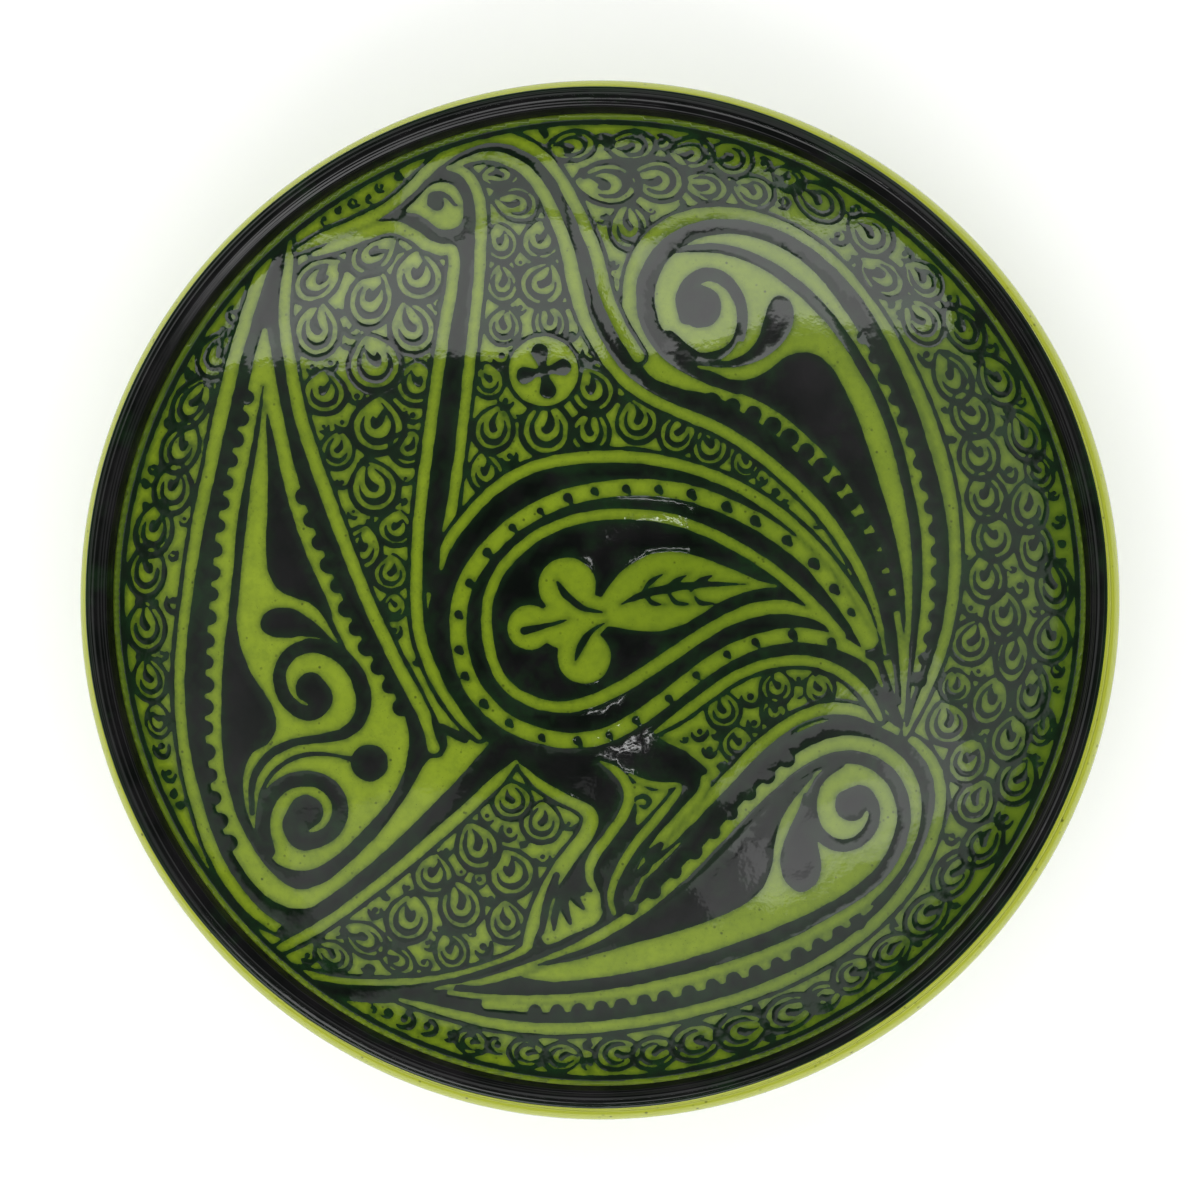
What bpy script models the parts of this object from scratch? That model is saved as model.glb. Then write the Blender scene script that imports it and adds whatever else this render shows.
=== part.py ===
"""A hand painted ceramic dish: clay body, luted foot ring, black slip painting and green glaze.

Metres, +Z up. The origin is the middle of the foot ring's flat base. Everything turned is a profile
spun about Z. The slip lies on the clay in separate areas, each cut from one thin skin over the well,
and the glaze covers it. Touching layers keep a small gap, so every piece is a solid of its own.
"""

import math

import bmesh
import bpy
from mathutils import Vector

# Driving dimensions, in millimetres
FLOOR_Z = 12.0  # the clay's upper surface in the middle of the well
WALL = 7.0  # thickness of the clay
WELL_RADIUS = 310.0  # radius of curvature of the well
WELL_SLOPE = 26.2  # degrees, where the well meets the wall
WALL_BEND = 11.5  # radius of the bend from the well up into the wall
WALL_SLOPE = 66.2  # degrees, the wall's slope at the lip
WALL_RISE = 1.0  # straight stretch of wall below the lip
LIP_RADIUS = 3.4
LIP_TURN = 150.2  # degrees that the lip rolls over
SHOULDER_RADIUS = 9.2  # bend from the lip back under the bowl
SHOULDER_END = 143.9  # radius where the shoulder meets the underside
FOOT_OUTER = 62.0
FOOT_INNER = 55.0
FOOT_FLARE = 3.0  # how much wider the foot ring is where it meets the body
FOOT_WAIST = 4.0  # height where a third of the flare is reached
FOOT_EDGE = 1.2  # rounding of the foot ring's standing edges
GAP = 0.3  # between touching layers
SLIP = 0.4  # thickness of the slip
GLAZE = 0.5  # thickness of the glaze
GLAZE_STOP = 68.0  # radius where the outside glaze stops above the foot ring
RIM_BAND_INNER = 140.6  # the painted band covers the wall from here to the lip's top
RING_LINE = (137.4, 139.0)  # the thin painted line inside the band
PAINTING_EDGE = 133.6  # the other painted areas stay inside this radius
STEPS = 48  # facets round the dish
UNDER_STEPS = 9  # facets along the underside
SHARP_EDGE = 35.0  # degrees, a sharper edge is shaded as a corner
CUTTER_REACH = 80.0  # how far a cutter reaches above and below the origin
MERGE = 0.00001  # metres, points closer than this are one
MM = 0.001

CLAY = ("clay", (0.62, 0.50, 0.36), 0.85)
SLIP_BLACK = ("slip_black", (0.012, 0.013, 0.015), 0.35)
GREEN_GLAZE = ("green_glaze", (0.22, 0.32, 0.02), 0.10)

# Painted areas seen from above, in millimetres from the middle. A brush line is points with a width each.
BIRD_BACK = [
    (-55, 114, 2.4), (-50, 120.5, 4.0), (-41, 128, 4.2), (-31, 130.5, 4.4), (-22, 127.5, 4.6),
    (-14, 118.5, 4.8), (-8, 105, 4.8), (-3.5, 90, 4.8), (0.5, 78, 5.0), (8, 67.5, 5.4),
    (20, 58.5, 5.6), (34, 52.5, 6.4), (48, 44, 7.2), (60, 33.5, 7.2), (71, 20.5, 6.0), (79, 6, 3.6),
    (82, -4, 1.6),
]
BIRD_NECK = [
    (-44, 122.5, 1.6), (-39.5, 120.5, 3.4), (-37.2, 113, 3.8), (-38, 98, 4.2), (-40.5, 79, 4.4),
    (-43, 58, 4.4), (-45.5, 38, 4.8), (-47.5, 20, 5.0), (-47, 2, 5.4), (-44, -15, 5.4), (-38, -27, 4.0),
    (-34, -32, 2.0),
]
LOWER_LEAF = [
    (-62, -112.5, 2.0), (-40, -110, 4.0), (-18, -104, 4.6), (2, -94, 5.0), (20, -79, 6.4), (36, -61, 7.0),
    (50, -46, 6.0), (62, -38.5, 4.6), (76, -36.8, 4.4), (88, -43, 4.4), (95, -55, 4.6), (94, -70, 4.4),
    (84, -84, 4.2), (66, -96, 4.0), (42, -106, 4.0), (18, -111.5, 3.4), (-8, -114, 2.4), (-28, -114.6, 1.2),
]
# A painted field is a closed outline.
BODY_FIELD = [
    (-30, -8), (-27, 4), (-20, 13), (-8, 20), (6, 22.5), (20, 21.5), (34, 16.5), (47, 9.5), (60, -0.8),
    (46, -1.5), (33, -7), (20, -16), (6, -24.5), (-8, -29), (-19, -27), (-27, -19),
]
BODY_BAND_OUTER = [
    (-39, -6), (-37, 6), (-30, 17), (-18, 25), (-4, 30), (10, 31.2), (25, 29.5), (40, 24), (54, 14.5),
    (66, 3), (74, -9.5), (66, -10.5), (54, -9), (44, -11), (32, -17), (18, -28), (4, -35), (-12, -37.5),
    (-26, -34), (-35, -24),
]
BODY_BAND_INNER = [
    (-34.5, -6), (-33, 4), (-27, 13.5), (-17, 20.5), (-4, 25.8), (10, 26.8), (24, 24.8), (38, 19.3), (51, 10.8),
    (63, -1), (66, -6), (56, -4.6), (44, -6), (31, -12), (17, -22.5), (3, -30.2), (-12, -32.8), (-23, -30),
    (-31, -21),
]
BIRD_LEGS = [
    (-24, -45), (-12, -44.5), (0, -43.5), (14, -42), (23, -46), (30, -50.5), (24, -54), (14, -53), (7.5, -51),
    (8, -58), (4, -67), (-3, -76), (-10, -85), (-14.5, -92), (-16.5, -99), (-20, -97), (-17, -88), (-11, -79),
    (-4, -71), (-0.5, -64), (-3, -60), (-12, -55), (-19, -50),
]
LEFT_LEAF_OUTER = [
    (-96, 96), (-92.5, 88), (-91, 72), (-86, 54), (-79, 34), (-70, 12), (-60, -12), (-52, -31), (-50.3, -44),
    (-54, -57), (-64, -70), (-77, -81), (-88, -83.8), (-98, -77), (-106, -64), (-110.5, -46), (-112.5, -24),
    (-112.5, 0), (-111, 26), (-108, 50), (-102, 76),
]
LEFT_LEAF_INNER = [
    (-97, 76), (-96, 66), (-92.5, 50), (-86, 30), (-77, 8), (-67, -14), (-58, -33), (-55.5, -44), (-59, -56),
    (-67, -66), (-78, -75.5), (-87, -78.6), (-95, -73), (-101, -61), (-105, -44), (-107, -22), (-107, 2),
    (-105, 26), (-102, 48), (-99, 64),
]
UPPER_SCROLL = [
    (38, 62.8), (48, 66), (57, 71.5), (64, 70), (70, 62), (75, 50), (80, 37), (85, 23), (88, 8),
    (86.8, 8), (82, 20), (74, 33.5), (63, 46), (51, 56),
]
CURVE_PIECES = 2  # straight pieces between two points of a painted outline


def material(name, colour, roughness):
    """The slot's material, made once and shared by the pieces of that layer."""
    found = bpy.data.materials.get(name)
    if found:
        return found
    made = bpy.data.materials.new(name)
    made.use_nodes = True
    shader = made.node_tree.nodes["Principled BSDF"]
    shader.inputs["Base Color"].default_value = (*colour, 1.0)
    shader.inputs["Roughness"].default_value = roughness
    shader.inputs["Metallic"].default_value = 0.0
    made.diffuse_color = (*colour, 1.0)
    return made


# Profiles are lists of (radius, height, heading), the heading in radians along the surface, 0 outwards.


def bend(path, radius, turn, steps):
    """Carries a profile on along an arc, to the left for a positive turn in degrees, else to the right."""
    r, z, heading = path[-1]
    side = math.copysign(1.0, turn)
    centre_r = r - side * radius * math.sin(heading)
    centre_z = z + side * radius * math.cos(heading)
    for step in range(1, steps + 1):
        now = heading + math.radians(turn) * step / steps
        path.append((centre_r + side * radius * math.sin(now), centre_z - side * radius * math.cos(now), now))


def straight(path, length):
    """Carries a profile straight on."""
    r, z, heading = path[-1]
    path.append((r + length * math.cos(heading), z + length * math.sin(heading), heading))


def inside_path():
    """The clay's upper surface, from the middle of the well to the top of the lip."""
    path = [(0.0, FLOOR_Z, 0.0)]
    bend(path, WELL_RADIUS, WELL_SLOPE, 10)
    bend(path, WALL_BEND, WALL_SLOPE - WELL_SLOPE, 4)
    straight(path, WALL_RISE)
    bend(path, LIP_RADIUS, -WALL_SLOPE, 3)
    return path


def outside_path(lip_top):
    """The clay's outer surface, from the top of the lip down and back to the middle of the underside."""
    path = [lip_top]
    bend(path, LIP_RADIUS, WALL_SLOPE - LIP_TURN, 4)
    under_radius = WELL_RADIUS + WALL
    centre_z = FLOOR_Z + WELL_RADIUS
    slope = math.asin(SHOULDER_END / under_radius)
    bend(path, SHOULDER_RADIUS, -math.degrees(math.pi - slope + path[-1][2]), 3)
    first = math.asin(path[-1][0] / under_radius)
    for step in range(1, UNDER_STEPS + 1):
        now = first * (1 - step / UNDER_STEPS)
        path.append((under_radius * math.sin(now), centre_z - under_radius * math.cos(now), now - math.pi))
    return path


def offset(path, distance):
    """The same profile a distance out from the clay."""
    return [(r - distance * math.sin(h), z + distance * math.cos(h)) for r, z, h in path]


def between(path, start, end):
    """The stretch of a rising profile between two radii, with a point made at each."""
    kept = [cut_at(path, start)]
    kept += [p for p in path if start < p[0] < end]
    kept.append(cut_at(path, end))
    return kept


def cut_at(path, radius):
    """The profile's point at a radius."""
    for a, b in zip(path, path[1:]):
        if min(a[0], b[0]) <= radius <= max(a[0], b[0]) and a[0] != b[0]:
            t = (radius - a[0]) / (b[0] - a[0])
            return tuple(p + t * (q - p) for p, q in zip(a, b))
    return path[-1]


def layer(path, lift, thickness):
    """A coat's section: along its upper side, then back along its lower side."""
    return offset(path, lift + thickness) + offset(path, lift)[::-1]


def make_object(name, mesh, look, collection):
    """Puts a mesh in the scene with its layer's material, shaded smooth but for its sharp edges."""
    mesh.materials.append(material(*look))
    made = bpy.data.objects.new(name, mesh)
    collection.objects.link(made)
    mesh.shade_smooth()
    mesh.set_sharp_from_angle(angle=math.radians(SHARP_EDGE))
    return made


def turned(name, section, look, collection):
    """Spins a section about Z. A section that starts on the axis stays open there, any other is a loop."""
    mesh = bpy.data.meshes.new(name)
    on_axis = abs(section[0][0]) < 1e-6
    count = len(section)
    edges = [(i, i + 1) for i in range(count - 1)]
    if not on_axis:
        edges.append((count - 1, 0))
    mesh.from_pydata([(r * MM, 0.0, z * MM) for r, z in section], edges, [])
    made = make_object(name, mesh, look, collection)
    screw = made.modifiers.new("turn", "SCREW")
    screw.axis = "Z"
    screw.steps = STEPS
    screw.render_steps = STEPS
    screw.use_merge_vertices = True
    screw.merge_threshold = MERGE
    screw.use_smooth_shade = True
    return made


def smooth_line(points, closed):
    """A Catmull-Rom curve through hand-placed points, as short straight pieces."""
    rows = [Vector(p) for p in points]
    count = len(rows)
    out = []
    for i in range(count if closed else count - 1):
        before = rows[i - 1] if closed or i else rows[i]
        after = rows[(i + 2) % count] if closed or i + 2 < count else rows[i + 1]
        a, b = rows[i], rows[(i + 1) % count]
        for step in range(CURVE_PIECES):
            t = step / CURVE_PIECES
            out.append(
                0.5 * (2 * a + (b - before) * t + (2 * before - 5 * a + 4 * b - after) * t * t
                       + (3 * a - before - 3 * b + after) * t ** 3)
            )
    if not closed:
        out.append(rows[-1])
    return out


def brush_outline(line):
    """The closed outline of a brush line whose width changes along it."""
    rows = smooth_line(line, closed=False)
    left, right = [], []
    for i, here in enumerate(rows):
        ahead = rows[min(i + 1, len(rows) - 1)] - rows[max(i - 1, 0)]
        side = Vector((-ahead.y, ahead.x)).normalized() * here.z / 2
        left.append(here.xy + side)
        right.append(here.xy - side)
    return left + right[::-1]


def prism(name, outlines, collection):
    """An upright block over flat outlines, the second and later ones holes in the first."""
    curve = bpy.data.curves.new(name, "CURVE")
    curve.dimensions = "2D"
    curve.fill_mode = "BOTH"
    curve.extrude = CUTTER_REACH * MM
    for outline in outlines:
        spline = curve.splines.new("POLY")
        spline.points.add(len(outline) - 1)
        spline.use_cyclic_u = True
        for point, place in zip(spline.points, outline):
            point.co = (place.x * MM, place.y * MM, 0.0, 1.0)
    drawn = bpy.data.objects.new(name + "_outline", curve)
    collection.objects.link(drawn)
    depsgraph = bpy.context.evaluated_depsgraph_get()
    mesh = bpy.data.meshes.new_from_object(drawn.evaluated_get(depsgraph))
    bpy.data.objects.remove(drawn)
    work = bmesh.new()
    work.from_mesh(mesh)
    bmesh.ops.remove_doubles(work, verts=work.verts, dist=MERGE)
    bmesh.ops.recalc_face_normals(work, faces=work.faces)
    work.to_mesh(mesh)
    work.free()
    block = bpy.data.objects.new(name + "_cutter", mesh)
    block.hide_render = True
    block.display_type = "WIRE"
    collection.objects.link(block)
    return block


def painted(name, section, outlines, collection, cutters):
    """An area of slip: the part of a thin skin over the well that lies inside the outlines."""
    made = turned(name, section, SLIP_BLACK, collection)
    cut = made.modifiers.new("edge_of_the_painting", "BOOLEAN")
    cut.operation = "INTERSECT"
    cut.solver = "EXACT"
    cut.object = prism(name, outlines, cutters)
    return made


def foot_section(outside):
    """The foot ring's section: its top follows the underside, and its standing edges are rounded."""
    under = [p for p in outside if FOOT_INNER - FOOT_FLARE < p[0] < FOOT_OUTER + FOOT_FLARE]
    under = [cut_at(outside, FOOT_OUTER + FOOT_FLARE)] + under + [cut_at(outside, FOOT_INNER - FOOT_FLARE)]
    top = offset(under, GAP)[::-1]
    corner = FOOT_EDGE * (1 - math.sqrt(0.5))
    return top + [
        (FOOT_OUTER + FOOT_FLARE / 3, FOOT_WAIST),
        (FOOT_OUTER, FOOT_EDGE),
        (FOOT_OUTER - corner, corner),
        (FOOT_OUTER - FOOT_EDGE, 0.0),
        (FOOT_INNER + FOOT_EDGE, 0.0),
        (FOOT_INNER + corner, corner),
        (FOOT_INNER, FOOT_EDGE),
        (FOOT_INNER - FOOT_FLARE / 3, FOOT_WAIST),
    ]


def glazed_outside(outside):
    """The outside profile from just past the lip's top to the radius where the glaze stops."""
    start = [outside[0]]
    bend(start, LIP_RADIUS, -math.degrees(GAP / LIP_RADIUS), 1)
    widest = max(range(len(outside)), key=lambda i: outside[i][0])
    kept = [p for p in outside[1:] if p[0] > GLAZE_STOP]
    return [start[-1]] + kept + [cut_at(outside[widest:], GLAZE_STOP)]


def slip_skin(inside, start, end):
    """A turned coat of slip on the clay, between two radii."""
    return layer(between(inside, start, end), GAP, SLIP)


def new_collection(name):
    made = bpy.data.collections.new(name)
    bpy.context.scene.collection.children.link(made)
    return made


def build():
    for old in list(bpy.context.scene.objects):
        bpy.data.objects.remove(old)
    dish = new_collection("painted_ceramic_dish")
    cutters = new_collection("cutters")

    inside = inside_path()
    outside = outside_path(inside[-1])
    body = [(r, z) for r, z, _ in inside + outside[1:]]
    turned("clay_body", body, CLAY, dish)
    turned("foot_ring", foot_section(outside), CLAY, dish)

    turned("slip_rim_band", slip_skin(inside, RIM_BAND_INNER, inside[-1][0]), SLIP_BLACK, dish)
    turned("slip_ring_line", slip_skin(inside, *RING_LINE), SLIP_BLACK, dish)

    well_skin = slip_skin(inside, 0.0, PAINTING_EDGE)
    lines = {"slip_bird_back": BIRD_BACK, "slip_bird_neck": BIRD_NECK, "slip_lower_leaf": LOWER_LEAF}
    for name, line in lines.items():
        painted(name, well_skin, [brush_outline(line)], dish, cutters)
    fields = {
        "slip_bird_body": [BODY_FIELD],
        "slip_body_band": [BODY_BAND_OUTER, BODY_BAND_INNER],
        "slip_bird_legs": [BIRD_LEGS],
        "slip_left_leaf": [LEFT_LEAF_OUTER, LEFT_LEAF_INNER],
        "slip_upper_scroll": [UPPER_SCROLL],
    }
    for name, outlines in fields.items():
        painted(name, well_skin, [smooth_line(o, closed=True) for o in outlines], dish, cutters)

    turned("glaze_inside", layer(inside, 2 * GAP + SLIP, GLAZE), GREEN_GLAZE, dish)
    turned("glaze_outside", layer(glazed_outside(outside), GAP, GLAZE), GREEN_GLAZE, dish)


build()
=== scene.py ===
import math
import random

import bpy
import numpy as np
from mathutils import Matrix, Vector
from mathutils.geometry import delaunay_2d_cdt
from mathutils.kdtree import KDTree


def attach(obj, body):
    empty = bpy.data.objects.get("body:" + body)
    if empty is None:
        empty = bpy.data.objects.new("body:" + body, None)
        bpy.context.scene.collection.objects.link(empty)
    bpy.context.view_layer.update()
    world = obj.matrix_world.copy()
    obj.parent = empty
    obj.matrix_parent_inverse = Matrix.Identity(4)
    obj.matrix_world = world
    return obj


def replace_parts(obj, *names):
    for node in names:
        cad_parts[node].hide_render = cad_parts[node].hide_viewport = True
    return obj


# A hand painted ceramic dish: black slip drawing under a glossy green glaze.
# The drawing is made flat in millimetres, traced into outlines, and laid on the curved well.

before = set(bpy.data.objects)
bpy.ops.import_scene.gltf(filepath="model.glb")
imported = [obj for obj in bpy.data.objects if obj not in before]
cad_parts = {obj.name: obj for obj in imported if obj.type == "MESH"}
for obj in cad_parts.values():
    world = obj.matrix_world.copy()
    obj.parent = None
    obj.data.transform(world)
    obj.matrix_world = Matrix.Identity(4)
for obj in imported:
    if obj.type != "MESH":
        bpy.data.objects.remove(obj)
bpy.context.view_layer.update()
MM = 0.001

# ---- Driving dimensions, in millimetres and degrees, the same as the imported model's ----
FLOOR_Z = 12
WALL = 7  # thickness of the clay
WELL_RADIUS = 310
WELL_SLOPE = 26.2  # where the well meets the bend
WALL_BEND = 11.5  # radius of the bend from the well up into the wall
WALL_SLOPE = 66.2
WALL_RISE = 1.0  # straight stretch of wall below the lip
LIP_RADIUS = 3.4
LIP_TURN = 150.2  # how far the lip rolls over
SHOULDER_RADIUS = 9.2
SHOULDER_END = 143.9  # radius where the shoulder meets the underside
GLAZE_TOP = 1.5  # from the clay to the top of the glaze, inside
GLAZE_SIDE = 0.8  # the same outside
GLAZE_STOP = 68  # radius where the outside glaze ends under the dish

# ---- Dimensions that only the scene has ----
GLAZE_THICK = 0.42
SLIP_HEIGHT = 0.045  # how proud the painted slip stands of the glaze
BANDING_SHIFT = (-0.7, 0.6)  # the rim bands are a little off the middle, as on a hand-turned wheel


# ---- The painting: a flat drawing seen from above, in millimetres from the middle of the dish ----
PITCH = 0.36  # between samples of the drawing
REACH = 143.0  # the drawing's half width
DEEP = 3.0  # depth beyond which a sample is simply inside or outside
LINE_STEP = 0.9  # between points along a brush line
RUN = 8  # pieces of a line that are measured together
THINNEST = 0.1  # the least width of a brush line
MARGIN = 1.2  # how far beyond a stroke its depth is still worked out
BLOB_MARGIN = 1.5  # the same for a filled outline
EDGE = 1.2  # width of the fine dark outline beside a green line
PAINTED_RADIUS = 137.4  # the ring line's inner edge
DRAWING_EDGE = 139.0  # radius where the drawing ends

axis = np.arange(-REACH, REACH + PITCH, PITCH)
GX, GY = np.meshgrid(axis, axis)
ink = np.full(GX.shape, -DEEP)  # how deep a sample lies in black, negative in green
cover = np.full(GX.shape, -DEEP)  # how deep it lies in any figure, negative in the ground
far = np.full(GX.shape, DEEP)  # how far it lies from an outline, only while one is filled


def spline(points, closed=False):
    """A smooth curve (Catmull-Rom) through given rows, with a point about every LINE_STEP."""
    rows = np.array(points, float)
    count = len(rows)
    out = []
    for i in range(count if closed else count - 1):
        a, b = rows[i], rows[(i + 1) % count]
        before = rows[i - 1] if closed or i else 2 * a - b
        after = rows[(i + 2) % count] if closed or i + 2 < count else 2 * b - a
        pieces = max(1, int(np.hypot(*(b - a)[:2]) / LINE_STEP))
        t = (np.arange(pieces) / pieces)[:, None]
        bend = 2 * before - 5 * a + 4 * b - after
        out.append(0.5 * (2 * a + (b - before) * t + bend * t**2 + (3 * a - before - 3 * b + after) * t**3))
    out.append(rows[:1] if closed else rows[-1:])
    return np.vstack(out)


def window(low, high, margin):
    """The part of the drawing that holds a box with a margin round it."""
    first = np.clip(((np.array(low) - margin + REACH) / PITCH).astype(int), 0, len(axis))
    end = np.clip(((np.array(high) + margin + REACH) / PITCH).astype(int) + 2, 0, len(axis))
    return slice(first[1], end[1]), slice(first[0], end[0])


def lay(where, depth, dark):
    """Paints black, or wipes to green, wherever the depth is above 0."""
    if dark:
        ink[where] = np.maximum(ink[where], np.minimum(depth, DEEP))
    else:
        ink[where] = np.minimum(ink[where], np.maximum(-depth, -DEEP))
    cover[where] = np.maximum(cover[where], np.minimum(depth, DEEP))


def run_depth(run, where):
    """Depth inside a short run of a line whose width changes along it."""
    x, y = GX[where][..., None], GY[where][..., None]
    ax, ay, aw = run[:-1].T
    dx, dy, dw = (run[1:] - run[:-1]).T
    along = np.clip(((x - ax) * dx + (y - ay) * dy) / np.maximum(dx * dx + dy * dy, 1e-9), 0, 1)
    gap = np.hypot(x - ax - along * dx, y - ay - along * dy)
    return ((aw + along * dw) / 2 - gap).max(axis=-1)


def runs(line, margin):
    """Short runs of a line, and the part of the drawing that each can reach."""
    for start in range(0, len(line) - 1, RUN):
        run = line[start : start + RUN + 1]
        yield run, window(run[:, :2].min(0), run[:, :2].max(0), run[:, 2].max() / 2 + margin)


def brush(points, width=None, dark=True, widen=0.0):
    """A brush line through rows of x, y and, where width isn't given, the width there."""
    rows = [p if width is None else (*p, width) for p in points]
    line = spline(rows)
    line[:, 2] = np.maximum(line[:, 2] + widen, THINNEST)
    for run, where in runs(line, MARGIN):
        lay(where, run_depth(run, where), dark)


def blob(*curves, dark=True):
    """A filled outline: one closed curve, or several that meet in corners."""
    parts = [spline(c, closed=len(curves) == 1) for c in curves]
    outline = np.vstack([*parts, parts[0][:1]])
    where = window(outline.min(0), outline.max(0), BLOB_MARGIN)
    x, y = GX[where], GY[where]
    inside = np.zeros(x.shape, bool)
    for (ax, ay), (bx, by) in zip(outline[:-1], outline[1:]):
        if ay != by:
            inside ^= ((ay > y) != (by > y)) & (x < (bx - ax) * (y - ay) / (by - ay) + ax)
    edge = np.column_stack([outline, np.zeros(len(outline))])
    for run, part in runs(edge, DEEP):
        far[part] = np.minimum(far[part], -run_depth(run, part))
    lay(where, np.where(inside, far[where], -far[where]), dark)
    for run, part in runs(edge, DEEP):
        far[part] = DEEP


def dot(x, y, radius, dark=True):
    where = window((x, y), (x, y), radius + MARGIN)
    lay(where, radius - np.hypot(GX[where] - x, GY[where] - y), dark)


def beside(points, side, beyond):
    """A line's edge, moved a way beyond it: side is 1 for its left edge and -1 for its right one."""
    line = spline(points)
    along = np.gradient(line[:, :2], axis=0)
    across = np.column_stack([-along[:, 1], along[:, 0]]) / np.hypot(*along.T)[:, None]
    return line[:, :2] + across * side * (line[:, 2:] / 2 + beyond)


def scallops(points, side, beyond, size, gap, first, last):
    """Rounded teeth biting into an edge of a line, between two distances along it."""
    rng = random.Random(int(first * 10))
    edge = beside(points, side, beyond)
    length = np.concatenate([[0], np.cumsum(np.hypot(*np.diff(edge, axis=0).T))])
    place = first
    while place < min(last, length[-1]):
        x, y = (np.interp(place, length, column) for column in edge.T)
        dot(x, y, size * rng.uniform(0.9, 1.1))
        place += gap * rng.uniform(0.92, 1.08)


def dark_edges(*lines):
    """The fine dark outlines of green lines, laid before what lies between them."""
    for line in lines:
        brush(line, widen=2 * EDGE)


def green_lines(*lines):
    """Lines left green between the black."""
    for line in lines:
        brush(line, dark=False)


# Every figure is made of brush lines, rows of x, y and width, and of filled outlines, rows of x and y.
# They were placed one by one.

# ---- Head, neck and back of the bird ----
BEAK_AND_BACK = [
    (-87.5, 101, 1.2), (-80, 104.7, 3), (-70, 109, 3.4), (-62, 113.2, 3.2), (-55.5, 118.5, 3),
    (-50, 124, 3), (-44, 129, 3.2), (-37, 132.6, 3.2), (-30, 133.8, 3.2), (-24, 132.6, 3.2),
    (-17, 128.8, 3.2), (-12, 123, 3.2), (-8, 116, 3.4), (-4.6, 109, 3.6), (-1, 100, 3.8),
    (1.4, 90, 3.8), (5.6, 80, 3.6), (11.2, 71, 3.6),
]
JAW_AND_NECK = [
    (-83, 100, 1.2), (-75, 103, 3.2), (-66, 106.8, 3.6), (-60, 108, 3.6), (-55, 106.2, 3.4),
    (-50, 102.9, 3.4), (-46, 101.6, 3.2), (-43.2, 101.8, 3), (-42.2, 98, 3.2), (-43.2, 90, 3.4),
    (-45, 80, 3.4), (-46.6, 70, 3.4), (-48, 60, 3.4), (-49.4, 50, 3.4), (-50.8, 40, 3.4),
    (-52, 30, 3.4), (-53, 20, 3.4), (-53.4, 10, 3.4), (-53.5, 0, 3.4), (-52.6, -10, 3.4),
    (-49.6, -19, 3.4), (-45.6, -27, 3.4), (-40, -34.5, 3.4), (-35, -39.5, 2.6),
]
NECK_RIGHT = [
    (-44.2, 124.9, 0.8), (-40, 124.2, 2.6), (-36.6, 120.5, 3), (-34.6, 114, 3.2), (-34.6, 105, 3.4),
    (-35, 95, 3.2), (-36, 85, 3.2), (-37.2, 75, 3.2), (-38.4, 65, 3.2), (-39.6, 54, 3), (-41, 42, 3),
    (-43, 28, 3), (-45, 17, 3), (-46.2, 9, 2), (-46.6, 4, 0.8),
]
BACK_INNER = [
    (-44.2, 124.9, 0.8), (-40, 126.6, 1.6), (-34, 128.4, 2.4), (-28, 127.8, 3), (-22, 124.6, 3.2),
    (-17.4, 119.5, 3.4), (-13.4, 112, 3.6), (-9.6, 102, 3.8), (-7.2, 91, 4.4), (-4.4, 81.5, 3.4),
    (0.4, 72.5, 3.2), (6.6, 64.5, 3.2), (15, 58.5, 3.2), (25, 54, 3.2), (36, 49.2, 3.4),
    (46, 42.6, 3.4), (56, 34.2, 3.4), (65, 25, 3.4), (73, 13.5, 3), (78, 3.5, 2.4), (81.4, -7, 1.6),
    (83, -16, 0.8),
]
BACK_UPPER = [
    (11.2, 71, 3.6), (16, 66, 4.2), (22, 62.2, 4.6), (30, 60.6, 4), (38, 58.6, 2.6), (46, 55.4, 2.6),
    (54, 50.5, 2.8), (61, 45, 2.8), (68, 38, 2.6), (74, 30.5, 2.8), (79, 22, 3), (83, 12.5, 2.8),
    (86, 3, 2.2), (88, -7, 1.2),
]
BACK_BAND = [
    (-59, 112.6, 3), (-53.5, 118, 4), (-48, 123.6, 4.6), (-41, 128, 4.4), (-33, 130.6, 3.4),
    (-24, 129.2, 4), (-17, 124.6, 4.2), (-12, 117.8, 4.2), (-8.6, 110, 4.4), (-5, 100, 4.4),
    (-2.8, 90, 4.4), (1, 80, 5), (6, 71, 5), (12, 64.6, 4.4), (20, 59.6, 4.6), (32, 55.6, 5.6),
    (42, 50.4, 6.4), (52, 43, 6.8), (60, 35.6, 7), (68, 26.6, 6.8), (75, 16.6, 6), (80, 6, 5),
    (84, -6, 3.4), (86, -18, 2), (87, -30, 1.2),
]
NECK_BAND = [
    (-52, 118, 3), (-47, 122.6, 3.4), (-41.6, 122.4, 4.4), (-38.4, 118.5, 4.8), (-37.8, 111, 4.6),
    (-38.6, 101, 4.6), (-39.8, 90, 4.6), (-41.2, 80, 4.6), (-42.6, 70, 4.6), (-43.8, 60, 4.6),
    (-45.2, 49, 4.6), (-46.6, 38, 4.6), (-48, 27, 4.6), (-49, 16, 4.6), (-49, 5, 5),
]
FACE = [
    (-56.4, 112.4), (-52.4, 116.6), (-49.4, 119.8), (-45.4, 120.9), (-41.8, 119.6), (-39.9, 116),
    (-39.5, 112), (-40.2, 109), (-43.4, 107.4), (-47, 107.7), (-49.8, 110), (-52.8, 111.8),
]


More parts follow.
